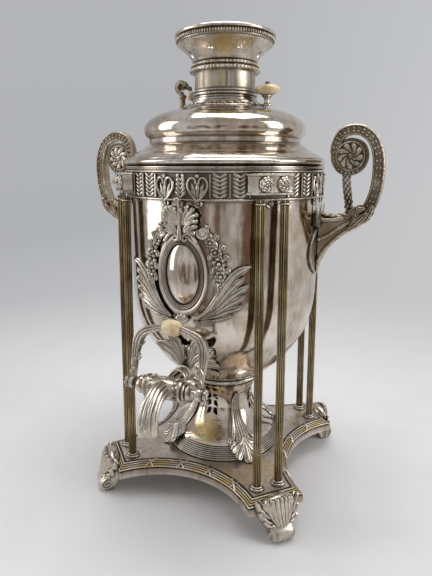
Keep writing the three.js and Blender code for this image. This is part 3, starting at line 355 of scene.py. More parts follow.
def volute(name, centre, radius, turns, bar, start=90, hand=1):
    """A bar coiled inward in the plane of x and z, with an eye; hand 1 turns anticlockwise."""
    path = []
    for step in range(int(turns * 14) + 1):
        angle = math.radians(start + hand * step * 360 / 14)
        reach = radius * (1 - 0.8 * step / (turns * 14))
        path.append((centre[0] + reach * math.cos(angle), centre[1],
                     centre[2] + reach * math.sin(angle)))
    coil = swept(name, path, ellipse(bar, bar * 1.1, 8))
    return [coil, ball(name, centre, (bar * 1.5, bar * 1.5, bar * 1.5), 10, 8)]


def blossom(name, radius, petals=6, rise=3, eye=0.32, notch=0.16):
    """A flower in relief that faces -Y about the origin, its petals cupped round a button."""
    rows = [(0.98, 0), (1, 0.3), (0.94, 0.62), (0.8, 0.86), (0.62, 0.82), (0.45, 0.52),
            (eye * 1.12, 0.42), (eye, 0.75), (eye * 0.72, 1), (eye * 0.3, 1.1)]
    rings = []
    for share, lift in rows:
        ring = []
        for step in range(petals * 8):
            angle = TURN * step / (petals * 8)
            petal = abs(math.cos(petals * angle / 2)) ** 0.5 if share > eye * 1.1 else 1
            reach = radius * share * (1 - notch * (1 - petal))
            depth = rise * lift * (0.45 + 0.55 * petal if share > eye * 1.1 else 1)
            ring.append((reach * math.cos(angle), -depth, reach * math.sin(angle)))
        rings.append(ring)

    # Painted shade round the button and between the petals.
    def amount(point):
        share = math.hypot(point.x, point.z) / radius
        petal = abs(math.cos(petals * math.atan2(point.z, point.x) / 2))
        around = max(0, 1 - abs(share - eye * 1.2) / 0.12)
        return max(around, (1 - petal * 2.4) if share > eye * 1.2 else 0)

    return marked(softened(loft(name, rings), 75), amount)


def ball(name, centre, radii, segments=16, rings=10):
    """An ellipsoid of its own, to join to other work."""
    deselect()
    bpy.ops.mesh.primitive_uv_sphere_add(segments=segments, ring_count=rings, radius=MM)
    piece = bpy.context.object
    piece.name = name
    piece.data.transform(Matrix.Translation(Vector(centre) * MM) @ Matrix.Diagonal((*radii, 1)))
    return softened(piece, 60)


def joined(name, pieces):
    choose(*pieces)
    bpy.ops.object.join()
    piece = bpy.context.object
    piece.name = name
    return piece


def spun(piece, count, centre=(0, 0, 0), axis=(0, 0, 1)):
    """The piece and its copies at equal steps round an axis."""
    with editing(piece):
        bpy.ops.mesh.spin(steps=count - 1, dupli=True, angle=TURN * (count - 1) / count,
                          center=Vector(centre) * MM, axis=axis)
    return piece


def copied(piece, name, matrix=Matrix.Identity(4)):
    """A copy with its own mesh, moved, turned or mirrored."""
    choose(piece)
    bpy.ops.object.duplicate()
    twin = bpy.context.object
    twin.name = name
    twin.data.transform(matrix)
    if matrix.determinant() < 0:
        twin.data.flip_normals()
    return twin


def moved(x=0, y=0, z=0):
    return Matrix.Translation(Vector((x, y, z)) * MM)


def rotated(degrees, axis='Z'):
    return Matrix.Rotation(math.radians(degrees), 4, axis)


MIRROR_X = Matrix.Scale(-1, 4, (1, 0, 0))
MIRROR_Y = Matrix.Scale(-1, 4, (0, 1, 0))


def laid(piece, radius_at, turn=0):
    """Lays flat work, drawn in x and z with its depth along -Y, on a round wall."""
    for vertex in piece.data.vertices:
        x, y, z = vertex.co / MM
        radius = radius_at(z)
        angle = x / radius + math.radians(turn) - math.pi / 2
        reach = radius - y
        vertex.co = Vector((reach * math.cos(angle), reach * math.sin(angle), z)) * MM
    return piece


def finished(piece, name, material, body, nodes=()):
    """Moves the piece on to the urn's axis, gives it its finish and hands it to the frame."""
    piece.name = name
    piece.data.name = name
    piece.data.transform(Matrix.Translation(AXIS))
    piece.data.materials.clear()
    piece.data.materials.append(material)
    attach(piece, body)
    if nodes:
        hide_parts(*nodes)
    return piece


def set_out(work, stem, turns, material, wall=None, offset=0):
    """Finishes one copy of the work for each named turn, laid on a wall or turned, and drops it."""
    for name, turn in turns.items():
        if wall:
            twin = laid(copied(work, "copy"), wall, turn)
        else:
            twin = copied(work, "copy", rotated(turn + offset))
        finished(twin, f"{stem}_{name}_cast", material, "urn", [f"{stem}_{name}"])
    bpy.data.objects.remove(work)


# ---- Materials

def node(tree, kind, inputs=None, output=0, **settings):
    """Adds a node, fills or links its sockets, and gives back one of its outputs."""
    made = tree.nodes.new('ShaderNode' + kind)
    for setting, value in settings.items():
        setattr(made, setting, value)
    for socket, value in (inputs or {}).items():
        if isinstance(value, bpy.types.NodeSocket):
            tree.links.new(value, made.inputs[socket])
        elif made.inputs[socket].type == 'RGBA':
            made.inputs[socket].default_value = (*value[:3], 1)
        else:
            made.inputs[socket].default_value = value
    return made.outputs[output] if made.outputs else made


def fresh_material(name):
    """The material, its node tree and its shader; the tree is None when it was made before."""
    material = bpy.data.materials.get(name)
    if material:
        return material, None, None
    material = bpy.data.materials.new(name)
    material.use_nodes = True
    tree = material.node_tree
    tree.nodes.clear()
    shader = tree.nodes.new('ShaderNodeBsdfPrincipled')
    node(tree, 'OutputMaterial', {'Surface': shader.outputs['BSDF']})
    return material, tree, shader


def plated(name, colours, gloss, wear, reach, shade, streak=0.6, chase=0.0, sway=0.0):
    """Silver plate over brass: toned in patches, worn through on ridges, dark in its hollows with
    tarnish and painted shade.

    colours: the settings for plate, its toning and what shows where it is worn through;
    gloss: roughness where it is wiped and where it isn't; wear: where brass begins and is full;
    reach: millimetres that a hollow reaches; shade: openness that gets the full painted shade and
    that gets none;
    streak: share of the dark streaks; chase: depth of the chaser's marks;
    sway: unevenness of the sheet.
    """
    material, tree, shader = fresh_material(name)
    if tree is None:
        return material
    finish = bpy.context.scene.samovar_finish
    plate, tarnish, brass = (getattr(finish, colour) for colour in colours)
    place = node(tree, 'TexCoord', output='Object')
    # Toning drifts over hand-sized patches.
    clouds = node(tree, 'TexNoise', {'Vector': place, 'Scale': 1 / (36 * MM), 'Detail': 6,
                                               'Roughness': 0.62})
    clouds = node(tree, 'MapRange', {0: clouds, 1: 0.36, 2: 0.62})
    colour = node(tree, 'Mix', {0: clouds, 6: plate, 7: tarnish}, 2, data_type='RGBA')
    # Tea and water have run down it in narrow darker streaks.
    upright = node(tree, 'Mapping', {'Vector': place, 'Scale': (1, 1, 0.14)})
    runs = node(tree, 'TexNoise', {'Vector': upright, 'Scale': 1 / (8 * MM), 'Detail': 6,
                                             'Roughness': 0.72})
    runs = node(tree, 'MapRange', {0: runs, 1: 0.5, 2: 0.7, 3: 0.0, 4: streak})
    stain = tuple(share * 0.36 for share in tarnish)
    colour = node(tree, 'Mix', {0: runs, 6: colour, 7: stain}, 2, data_type='RGBA')
    # The plate is thinnest on ridges, so brass shows there first, and where it was rubbed.
    ridges = node(tree, 'NewGeometry', output='Pointiness')
    rubbed = node(tree, 'TexNoise', {'Vector': place, 'Scale': 1 / (30 * MM), 'Detail': 7,
                                               'Roughness': 0.7})
    edge = node(tree, 'MapRange', {0: ridges, 1: 0.5, 2: 0.6, 3: 0.0, 4: 0.16})
    worn = node(tree, 'Math', {0: edge, 1: rubbed}, operation='ADD')
    worn = node(tree, 'MapRange', {0: worn, 1: wear[0], 2: wear[1]})
    bare = node(tree, 'Attribute', output='Fac', attribute_name="bare")
    mottle = node(tree, 'TexNoise', {'Vector': place, 'Scale': 1 / (5 * MM), 'Detail': 5})
    mottle = node(tree, 'MapRange', {0: mottle, 1: 0.2, 2: 0.5, 3: 0.25, 4: 1.0})
    bare = node(tree, 'Math', {0: bare, 1: mottle}, operation='MULTIPLY')
    bare = node(tree, 'Math', {0: worn, 1: bare}, operation='MAXIMUM', use_clamp=True)
    colour = node(tree, 'Mix', {0: bare, 6: colour, 7: brass}, 2, data_type='RGBA')
    # Hollows, creases, flutes and the chaser's marks stay dark: tarnish, and painted shade from
    # ambient occlusion and pointiness.
    occlusion_shade = node(tree, 'AmbientOcclusion', {'Distance': reach * MM}, 'AO', samples=6)
    occlusion_shade = node(tree, 'MapRange', {0: occlusion_shade, 1: shade[0], 2: shade[1], 3: 0.95, 4: 0.0})
    crease_shade = node(tree, 'MapRange', {0: ridges, 1: 0.43, 2: 0.495, 3: 0.9, 4: 0.0})
    dark = node(tree, 'Math', {0: occlusion_shade, 1: crease_shade}, operation='MAXIMUM')
    groove = node(tree, 'Attribute', output='Fac', attribute_name="hollow")
    dark = node(tree, 'Math', {0: dark, 1: groove}, operation='MAXIMUM', use_clamp=True)
    marks = node(tree, 'TexNoise', {'Vector': place, 'Scale': 1 / (2.4 * MM), 'Detail': 3,
                                              'Roughness': 0.6, 'Distortion': 0.6})
    sunk = node(tree, 'MapRange', {0: marks, 1: 0.34, 2: 0.5, 3: min(1.0, 1.3 * chase), 4: 0.0})
    dark = node(tree, 'Math', {0: dark, 1: sunk}, operation='MAXIMUM', use_clamp=True)
    colour = node(tree, 'Mix', {0: dark, 6: colour, 7: finish.hollow}, 2, data_type='RGBA')
    tree.links.new(colour, shader.inputs['Base Color'])
    shader.inputs['Metallic'].default_value = 1
    # Wiping leaves it brighter in some places than in others, and hollows are dull.
    wipe = node(tree, 'TexNoise', {'Vector': upright, 'Scale': 1 / (10 * MM), 'Detail': 5})
    wipe = node(tree, 'MapRange', {0: wipe, 1: 0.32, 2: 0.7, 3: gloss[0], 4: gloss[1]})
    dull = node(tree, 'Math', {0: dark, 1: 0.3, 2: wipe}, operation='MULTIPLY_ADD')
    dull = node(tree, 'Math', {0: bare, 1: 0.2, 2: dull}, operation='MULTIPLY_ADD')
    tree.links.new(dull, shader.inputs['Roughness'])
    # Fine scratches, the chaser's marks and the slow unevenness of hand-worked sheet.
    scratch = node(tree, 'TexNoise', {'Vector': place, 'Scale': 1 / (1.1 * MM), 'Detail': 3})
    relief = node(tree, 'Bump', {'Height': scratch, 'Strength': 0.2, 'Distance': 0.1 * MM},
                  'Normal')
    relief = node(tree, 'Bump', {'Height': marks, 'Strength': chase, 'Distance': 0.9 * MM,
                                           'Normal': relief}, 'Normal')
    slow = node(tree, 'TexNoise', {'Vector': place, 'Scale': 1 / (17 * MM), 'Detail': 2})
    relief = node(tree, 'Bump', {'Height': slow, 'Strength': sway, 'Distance': 1.2 * MM,
                                           'Normal': relief}, 'Normal')
    tree.links.new(relief, shader.inputs['Normal'])
    return material


def sheet_silver():
    """Silver-plated sheet brass, spun and buffed: an uneven mirror, toned brown in patches."""
    return plated("spun_silver_plate", ("plate", "tarnish", "brass"),
                  gloss=(0.05, 0.17), wear=(0.7, 0.82), reach=4, shade=(0.5, 0.95), sway=0.2)


def cast_silver():
    """Silver-plated cast brass, chased: bright on the ridges, nearly black in the hollows."""
    return plated("chased_silver_plate", ("cast", "cast_tone", "brass"),
                  gloss=(0.2, 0.32), wear=(0.76, 0.9), reach=3, shade=(0.1, 0.85), chase=0.14)


def worn_silver():
    """Silver plate that years of polishing have worn to the brass in patches, a soft mirror."""
    return plated("rubbed_silver_plate", ("worn", "worn_tone", "brass"),
                  gloss=(0.34, 0.52), wear=(0.7, 0.84), reach=2.5, shade=(0.4, 0.92), chase=0.06)


def column_brass():
    """Drawn brass tube, toned olive brown and dark in its flutes, half dull."""
    return plated("fluted_brass", ("column", "column_tone", "cast"),
                  gloss=(0.24, 0.4), wear=(0.72, 0.86), reach=1.5, shade=(0.7, 0.97), chase=0.15)


def handle_brass():
    """Cast brass whose plate has gone from most of the surface: olive, half dull, dark chasing."""
    return plated("handle_brass", ("handle", "handle_tone", "cast"),
                  gloss=(0.26, 0.42), wear=(0.6, 0.78), reach=3, shade=(0.35, 0.92), chase=0.4)


def dark_brass():
    """Brass darkened by heat and steam, half dull."""
    return plated("smoked_brass", ("dark", "handle_tone", "cast"),
                  gloss=(0.28, 0.45), wear=(0.66, 0.85), reach=3, shade=(0.4, 0.92), chase=0.3)


def tinned():
    """Tinned sheet, dull grey from the fire's heat."""
    return plated("tinned_sheet", ("tin", "tarnish", "brass"),
                  gloss=(0.4, 0.6), wear=(0.8, 0.95), reach=4, shade=(0.5, 0.95))


def grate_iron():
    """Raw cast iron, scaled reddish brown by the charcoal fire, rough and without shine."""
    material, tree, shader = fresh_material("scaled_iron")
    if tree is None:
        return material
    finish = bpy.context.scene.samovar_finish
    place = node(tree, 'TexCoord', output='Object')
    scale = node(tree, 'TexNoise', {'Vector': place, 'Scale': 1 / (2.5 * MM), 'Detail': 6})
    rusty = node(tree, 'MapRange', {0: scale, 1: 0.35, 2: 0.7})
    colour = node(tree, 'Mix', {0: rusty, 6: finish.iron, 7: finish.scale}, 2, data_type='RGBA')
    tree.links.new(colour, shader.inputs['Base Color'])
    shader.inputs['Metallic'].default_value = 0.7
    rough = node(tree, 'MapRange', {0: scale, 1: 0.3, 2: 0.7, 3: 0.55, 4: 0.8})
    tree.links.new(rough, shader.inputs['Roughness'])
    bump = node(tree, 'Bump', {'Height': scale, 'Strength': 0.6, 'Distance': 0.3 * MM}, 'Normal')
    tree.links.new(bump, shader.inputs['Normal'])
    return material


def ivory():
    """Turned and polished ivory: cream with a fine lengthwise grain, yellowed where held."""
    material, tree, shader = fresh_material("turned_ivory")
    if tree is None:
        return material
    finish = bpy.context.scene.samovar_finish
    place = node(tree, 'TexCoord', output='Object')
    along = node(tree, 'Mapping', {'Vector': place, 'Scale': (0.3, 1, 1)})
    grain = node(tree, 'TexNoise', {'Vector': along, 'Scale': 1 / (2.2 * MM), 'Detail': 4})
    lines = node(tree, 'MapRange', {0: grain, 1: 0.35, 2: 0.7})
    colour = node(tree, 'Mix', {0: lines, 6: finish.ivory, 7: finish.ivory_grain}, 2,
                  data_type='RGBA')
    clouds = node(tree, 'TexNoise', {'Vector': place, 'Scale': 1 / (8 * MM), 'Detail': 3})
    clouds = node(tree, 'MapRange', {0: clouds, 1: 0.45, 2: 0.72, 3: 0.0, 4: 0.7})
    groove = node(tree, 'Attribute', output='Fac', attribute_name="hollow")
    yellow = node(tree, 'Math', {0: clouds, 1: groove}, operation='MAXIMUM', use_clamp=True)
    colour = node(tree, 'Mix', {0: yellow, 6: colour, 7: finish.ivory_stain}, 2, data_type='RGBA')
    tree.links.new(colour, shader.inputs['Base Color'])
    shader.inputs['Roughness'].default_value = 0.3
    shader.inputs['IOR'].default_value = 1.54
    shader.inputs['Subsurface Weight'].default_value = 0.15
    shader.inputs['Subsurface Scale'].default_value = 1.5 * MM
    shader.inputs['Subsurface Radius'].default_value = (1, 0.7, 0.4)
    bump = node(tree, 'Bump', {'Height': grain, 'Strength': 0.15, 'Distance': 0.1 * MM}, 'Normal')
    tree.links.new(bump, shader.inputs['Normal'])
    return material


# ---- Settings that a user would change

def size(name, text, value, low=0.1, high=500.0):
    return bpy.props.FloatProperty(name=name, description=text + ", in millimetres",
                                   default=value, min=low, max=high)


def tint(name, text, hex_colour):
    return bpy.props.FloatVectorProperty(name=name, description=text, subtype='COLOR', size=3,
                                         min=0, max=1, default=linear(hex_colour))


def number(name, text, value, low, high):
    return bpy.props.IntProperty(name=name, description=text, default=value, min=low, max=high)


class SamovarFinish(bpy.types.PropertyGroup):
    plate: tint("Silver plate", "Polished silver plate", "#e6ddd3")
    tarnish: tint("Toned plate", "Silver plate where it has toned", "#bfae9b")
    brass: tint("Bare brass", "Brass where the plate is worn through", "#dac286")
    # Hollows: tarnish, and the painted shade that darkens every hollow, crease and groove.
    hollow: tint("Hollows", "Tarnish that stays in hollows and grooves", "#17120d")
    cast: tint("Cast silver plate", "Silver plate on the castings", "#e4dccf")
    cast_tone: tint("Toned castings", "Castings where the plate has toned", "#b6a999")
    worn: tint("Worn plate", "Plate on the base", "#efe4da")
    worn_tone: tint("Toned base", "Base where the plate has toned", "#c8b7a6")
    column: tint("Columns", "Toned brass of the columns", "#c4b28c")
    column_tone: tint("Column shade", "Darker toning of the columns", "#8a7350")
    handle: tint("Handles", "Brass of the handles", "#dccfb9")
    handle_tone: tint("Handle shade", "Darker toning of the handles", "#ae9b80")
    dark: tint("Dark brass", "Brass darkened by heat", "#6a5e50")
    tin: tint("Tinned sheet", "Tin inside the fire tube", "#8f8a82")
    iron: tint("Grate iron", "Raw iron of the grate", "#2c2622")
    scale: tint("Fire scale", "Scale on the grate", "#5a4438")
    ivory: tint("Ivory", "Turned ivory", "#f2e6c2")
    ivory_grain: tint("Ivory grain", "Darker lines of the ivory", "#e2cb97")
    ivory_stain: tint("Ivory stain", "Yellowed ivory", "#b98542")


class SamovarSizes(bpy.types.PropertyGroup):
    border_reeds: number("Border reeds", "Reeds along the plate's border", 4, 1, 9)
    ring_reeds: number("Ring reeds", "Reeds round the pedestal's foot ring", 7, 1, 20)
    column_flutes: number("Flutes", "Flutes of each column", 12, 4, 24)
    column_radius: size("Column radius", "Radius of a column's shaft", 4.6, 2, 8)
    rosette_radius: size("Rosette radius", "Radius of the corner blocks' rosettes", 6.9, 3, 9)
    boss_rise: size("Boss rise", "How far the oval boss stands from the urn", 6.5, 1, 7)
    handle_band: size("Handle band", "Width of the handles' band", 9.5, 5, 10)
    bar_width: size("Stirrup bar", "Width of the tap lever's bar", 6, 3, 7)
    grip_length: size("Grip length", "Length of the ivory grip", 19.4, 10, 20)
    knob_radius: size("Knob radius", "Radius of the lid's ivory knob", 13.2, 8, 13.4)
    bead_radius: size("Bead radius", "Radius of the steam vent's ivory bead", 4.5, 3, 4.6)


class SamovarStudio(bpy.types.PropertyGroup):
    floor: tint("Floor", "Colour of the floor", "#dfdfdf")
    wall: tint("Wall", "Wall behind the samovar", "#cbccce")
    # The low, right and high wall colours also serve as the sweep's painted light, which glows
    # darker to the left and lighter to the right.
    wall_low: tint("Low wall", "Wall where it meets the floor, to the left", "#b0b1b3")
    wall_right: tint("Right wall", "Wall where it meets the floor, to the right", "#d6d6d7")
    wall_high: tint("High wall", "Upper wall, to the left", "#b4b5b8")
    ceiling: tint("Ceiling", "Ceiling that metal mirrors", "#b4b4b6")
    room: tint("Room", "Dark room before the samovar, seen only in the metal", "#634b35")
    haze: tint("Room light", "Light that the room gives to dull surfaces", "#a8a8aa")
    lamp: bpy.props.FloatProperty(name="Lamps",
                                  description="Strength of the soft boxes, as a share",
                                  subtype='FACTOR', default=1.0, min=0, max=10)


# ---- Base plate and feet

PLATE_REACH, PLATE_HALF, PLATE_HOLLOW = 143, 32.5, 35


def plate_outline(inset, z, steps=20):
    """The plate's outline, concave between its cut corners, drawn in by inset."""
    half_chord = (PLATE_REACH - PLATE_HALF) * math.sqrt(0.5)
    side_reach = (PLATE_REACH + PLATE_HALF) * math.sqrt(0.5)
    arc_radius = (half_chord ** 2 + PLATE_HOLLOW ** 2) / (2 * PLATE_HOLLOW)
    arc_centre = side_reach - PLATE_HOLLOW + arc_radius
    radius = arc_radius + inset
    corner = (PLATE_REACH - inset) * math.sqrt(0.5)
    spread = corner ** 2 + (corner - arc_centre) ** 2 - radius ** 2
    shift = (arc_centre - math.sqrt(arc_centre ** 2 - 2 * spread)) / 2
    half_angle = math.asin((corner - shift) / radius)
    points = []
    for side in range(4):
        turn = side * TURN / 4
        for step in range(steps + 1):
            angle = half_angle * (2 * step / steps - 1)
            across, out = radius * math.sin(angle), arc_centre - radius * math.cos(angle)
            points.append((across * math.cos(turn) + out * math.sin(turn),
                           across * math.sin(turn) - out * math.cos(turn), z))
    return points


def reeded_border():
    """Inset and height of the border, from the underside out and up to the plate's top."""
    count = bpy.context.scene.samovar_sizes.border_reeds
    fascia = [(9.6, 39.4), (9.6, 26.6), (0.5, 26.6), (0, 27.1), (0, 34.6), (0.6, 35), (0.7, 36.1)]
    top = [(9.2, 41.2), (9.6, 41.9), (12, 41.9)]
    return fascia + reeds((0.7, 36.1), (8.6, 41.5), count, 6) + top


class SAMOVAR_OT_base_plate(bpy.types.Operator):
    """Plate with concave sides, a plain fascia and a reeded border tied with ribbons"""
    bl_idname = "samovar.base_plate"
    bl_label = "Base plate"

    def execute(self, context):
        rows = reeded_border()
        # The sunk lines between the border's reeds are marked for painted shade.
        plate = loft("plate", [plate_outline(inset, z) for inset, z in rows],
                     hollows=valleys([(-inset, z) for inset, z in rows]))
        marked(plate, border_wear, "bare")
        marked(plate, patches((47, -76, 42, 15), (23, -62, 42, 9), (71, 76, 42, 14),
                              (96, 84, 42, 9), (-60, -70, 42, 8), (92, -60, 42, 8)), "bare")
        parts = [plate]
        for side in range(4):
            for place in (-0.62, -0.2, 0.2, 0.62):
                parts += ribbon_tie(side, place)
        finished(joined("base_plate", parts), "base_plate_worked", worn_silver(), "urn",
                 ["base_plate"])
        return {'FINISHED'}


def border_wear(point):
    """The border's reeds are rubbed bare here and there, but not in its hollow sides."""
    on_border = 36 < point.z < 41.4 and max(abs(point.x), abs(point.y)) > 70
    return 0.85 if on_border and wandering(point.x * 0.05, point.y * 0.05) > 0.1 else 0


def wandering(x, y):
    """A smooth wandering value for worn places."""
    return math.sin(3.1 * x + 1.3 * math.sin(2.3 * y)) * math.cos(2.7 * y - 0.8 * math.sin(1.9 * x))


def ribbon_tie(side, place):
    """A crossed ribbon over the border's reeds at a share of one side."""
    outer, inner = plate_outline(0.6, 36.6), plate_outline(9, 41.9)
    row = side * 21 + 10 + place * 10
    parts = []
    for slant in (-1.1, 1.1):
        ends = []
        for outline, shift in ((outer, -slant), (inner, slant)):
            at = row + shift * 0.5
            i = int(at)
            ends.append(Vector(outline[i]).lerp(Vector(outline[(i + 1) % 84]), at - i))
        middle = (ends[0] + ends[1]) / 2 + Vector((0, 0, 1.7))
        middle += (middle * Vector((1, 1, 0))).normalized() * 0.8
        path = flow([ends[0], middle, ends[1]], 4)
        along = (ends[1] - ends[0]).normalized()
        across = along.cross(Vector((0, 0, 1))).normalized()
        parts.append(swept("ribbon", path, [(-0.7, -0.9), (0.5, -0.9), (0.5, 0.9), (-0.7, 0.9)],
                           side=across))
    return parts


def foot_work():
    """One foot, drawn with x pointing out along the corner's diagonal."""
    side = flow([(131.5, 25.5), (133.5, 18), (139, 13), (143.4, 6), (146, 0.6)], 4) + [(150, 0.1)]
    side += arc((154.2, 9.4), 9.3, -90, 62, 14)
    side += flow([(157.4, 20), (154.6, 23), (152, 27)], 3)
    parts = [loft("foot_scroll", [
        [((x - 150) * k + 150, y, (z - 12) * k + 12) for x, z in side]
        for y, k in ((-11.4, 0.88), (-10.8, 0.95), (-9.4, 0.99), (9.4, 0.99), (10.8, 0.95),
                     (11.4, 0.88))])]
    for y in (-11.4, 11.4):
        parts += volute("foot_volute", (154.2, y, 9.4), 7, 1.9, 1.3, 75, -1)
        lead = flow([(145, y, 25), (150.4, y, 21), (155.8, y, 16.4)], 4)
        parts.append(swept("foot_spiral", lead, ellipse(1.5, 1.5, 8)))
    for y in (-10, -6, -2, 2, 6, 10):
        parts.append(ball("foot_bead", (157.6 - abs(y) * 0.1, y, 20.6), (2, 2.2, 2), 12, 8))
    shell = []
    for rib in range(-3, 4):
        spine = [(rib * 2.4, 18 + 0.4 * rib * rib), (rib * 4.1, 34),
                 (rib * 4.7, 49 - 0.5 * rib * rib)]
        shell.append(leaf("foot_rib", spine, [(0, 4), (0.5, 7.6), (0.85, 7.2), (1, 3)], ribs=1,
                          base=2.2 - 0.3 * rib * rib, cup=3.6, flute=1.2, curl=1.2, across=10,
                          along=18, thickness=3))
    for hand in (-1, 1):
        for heel, middle, tip, width in (((9, 22), (17, 25), (23, 33), 8),
                                         ((10, 26), (19, 33), (24.4, 43), 8),
                                         ((8, 20), (14, 19.6), (20, 24), 6)):
            spine = [(hand * x, z) for x, z in (heel, middle, tip)]
            shell.append(leaf("foot_leaf", spine, [(0, 3), (0.5, width), (0.85, width * 0.8),
                                                   (1, 2)], ribs=1, base=-1, cup=3, flute=1, curl=4,
                              across=12, along=20, thickness=2.4))
        shell += volute("foot_curl", (hand * 20.6, -1.4, 29.4), 3.6, 1.3, 1.2, 90, hand)
        shell += volute("foot_curl", (hand * 21.4, 0.4, 41), 3.4, 1.3, 1.1, 90, hand)
    shell = joined("foot_shell", shell)
    shell.data.transform(moved(156, 0, 19) @ rotated(-16, 'Y') @ moved(0, 0, -19) @ rotated(90))
    for vertex in shell.data.vertices:
        vertex.co.x -= 0.013 * vertex.co.y ** 2 / MM
    parts.append(ball("foot_core", (146, 0, 37), (9.5, 19, 11.6), 24, 16))
    return joined("foot", parts + [shell])


class SAMOVAR_OT_feet(bpy.types.Operator):
    """Four scroll feet, each under a ribbed shell"""
    bl_idname = "samovar.feet"
    bl_label = "Feet"

    def execute(self, context):
        set_out(foot_work(), "foot", CORNERS, cast_silver(), offset=-90)
        return {'FINISHED'}


# ---- Pedestal

PEDESTAL = flow([(62.5, 57.1), (60.4, 60.4), (55.5, 64.2), (48.5, 69), (41.6, 75.6), (36.9, 83.2),
                 (34.2, 91), (33.6, 98.5), (34.2, 106), (36.4, 113.5), (40, 120.5), (43.7, 125.6)],
                3)
FOOT_RING = [(72, 42.3), (62.8, 56.8)]


def pedestal_radius(z):
    if z < FOOT_RING[1][1]:
        return value_at([(height, radius) for radius, height in FOOT_RING], z)
    return value_at([(height, radius) for radius, height in PEDESTAL], z)


class SAMOVAR_OT_foot_ring(bpy.types.Operator):
    """Reeded ring between the plate and the pedestal"""
    bl_idname = "samovar.foot_ring"
    bl_label = "Foot ring"

    def execute(self, context):
        count = context.scene.samovar_sizes.ring_reeds
        rows = reeds((62.2, 55.9), (70.9, 42.8), count, 6)[::-1]
        profile = [(55.6, 42.4), (71.2, 42.4)] + rows + [(61.4, 56.7), (55.6, 56.7)]
        ring = turned("foot_ring_worked", profile, closed=True)
        finished(ring, "foot_ring_worked", cast_silver(), "urn", ["foot_ring"])
        return {'FINISHED'}


def leaf_cutter(x, z, length, width, tilt):
    """A pointed leaf, longer on its outer side, to cut through the pedestal's front wall."""
    half = length / 2
    outline = [(0, half), (width * 0.55, half * 0.35), (width * 0.5, -half * 0.3),
               (width * 0.2, -half), (-width * 0.25, -half * 0.35), (-width * 0.45, half * 0.2)]
    outline = flow(outline + outline[:1], 3)[:-1]
    cosine, sine = math.cos(tilt), math.sin(tilt)
    points = [(x + a * cosine - b * sine, z + a * sine + b * cosine) for a, b in outline]
    rings = [[(a * k, y, b) for a, b in points] for y, k in ((-12, 0.35), (-75, 1.2))]
    return loft("leaf_cutter", rings)


class SAMOVAR_OT_pedestal(bpy.types.Operator):
    """Pedestal shell with leaf-shaped holes that let air in to the fire"""
    bl_idname = "samovar.pedestal"
    bl_label = "Pedestal"

    def execute(self, context):
        shell = wire("pedestal_worked", [(r, 0, z) for r, z in PEDESTAL])
        with editing(shell):
            bpy.ops.mesh.spin(steps=128, angle=TURN, center=(0, 0, 0), axis=(0, 0, 1))
        outward(shell)
        modified(shell, 'SOLIDIFY', thickness=1.5 * MM, offset=-1)
        cutters = []
        for side in (-1, 1):
            for z in (87.3, 96.9, 106.5):
                cutters.append(leaf_cutter(side * 5.6, z, 11.4, 7 * side, side * 0.6))
            cutters.append(leaf_cutter(side * 6, 117.5, 11, 6 * side, side * 1.2))
        cutter = joined("leaf_cutters", cutters)
        spun(cutter, 4)
        outward(cutter)
        modified(shell, 'BOOLEAN', operation='DIFFERENCE', object=cutter, solver='EXACT')
        bpy.data.objects.remove(cutter)
        softened(shell, 30)
        marked(shell, patches((-1, -50, 67, 20)), "bare")
        finished(shell, "pedestal_worked", sheet_silver(), "urn", ["pedestal"])
        return {'FINISHED'}


def leg_work():
    """One acanthus leg, drawn flat: a ribbed stem that opens into a lobed, curled foot."""
    parts = [leaf("leg_stem", [(0, 112), (0, 90), (0, 70), (0, 52)],
                  [(0, 3), (0.15, 9), (0.5, 11), (0.75, 17), (1, 21)], ribs=5, base=1.4, cup=2.2,
                  flute=1.6, sweep=-0.1, across=36, along=50, thickness=1.6)]
    for turn, length in ((-58, 16), (58, 16), (-30, 19), (30, 19), (0, 21)):
        angle = math.radians(180 + turn)
        middle = (0.55 * length * math.sin(angle), 65 + 0.6 * length * math.cos(angle))
        tip = (1.15 * length * math.sin(angle), 65 + length * math.cos(angle))
        parts.append(leaf("leg_lobe", [(0, 65), middle, tip],
                          [(0, 4), (0.5, 8), (0.84, 9.4), (1, 5)], ribs=2, base=3.4, cup=2.4,
                          flute=1, curl=3, across=16, along=24, thickness=2.2))
    for hand in (-1, 1):
        parts += volute("leg_volute", (hand * 13, -4.2, 60.4), 4.4, 1.4, 1.4,
                        120 if hand > 0 else 60, -hand)
        lead = flow([(hand * 4.2, -3.6, 90), (hand * 5.4, -3.8, 78), (hand * 8, -4.2, 69),
                     (hand * 11, -4.2, 64.6)], 4)
        parts.append(swept("leg_rim", lead, ellipse(1.3, 1.5, 8)))
    return joined("leg", parts)


class SAMOVAR_OT_pedestal_legs(bpy.types.Operator):
    """Four acanthus legs laid on the pedestal"""
    bl_idname = "samovar.pedestal_legs"
    bl_label = "Pedestal legs"

    def execute(self, context):
        set_out(leg_work(), "pedestal_leg", CORNERS, cast_silver(), pedestal_radius)
        return {'FINISHED'}


class SAMOVAR_OT_collar(bpy.types.Operator):
    """Moulded collar between the pedestal and the urn"""
    bl_idname = "samovar.collar"
    bl_label = "Collar"

    def execute(self, context):
        profile = [(37.2, 126.1), (44.8, 126.1)] + arc((44.6, 127.4), 1.3, -90, 90, 6)
        profile += [(44.9, 129), (46.5, 129.6)] + arc((48.6, 131.4), 2.1, -60, 90, 8)
        profile += [(47.5, 133.6), (37.2, 133.6)]
        collar = turned("collar_ring_turned", profile, closed=True)
        finished(collar, "collar_ring_turned", cast_silver(), "urn", ["collar_ring"])
        return {'FINISHED'}


# ---- Columns and corner blocks

COLUMN_FOOT_REACH, COLUMN_HEAD_REACH, COLUMN_HEIGHT = 122.6, 116.5, 307.4
COLUMN_SPREAD = 12.8  # from the corner's diagonal to each column of its pair
BLOCK_REACH, BLOCK_HALF, ROSETTE_Z = 121.6, 19, 359.8


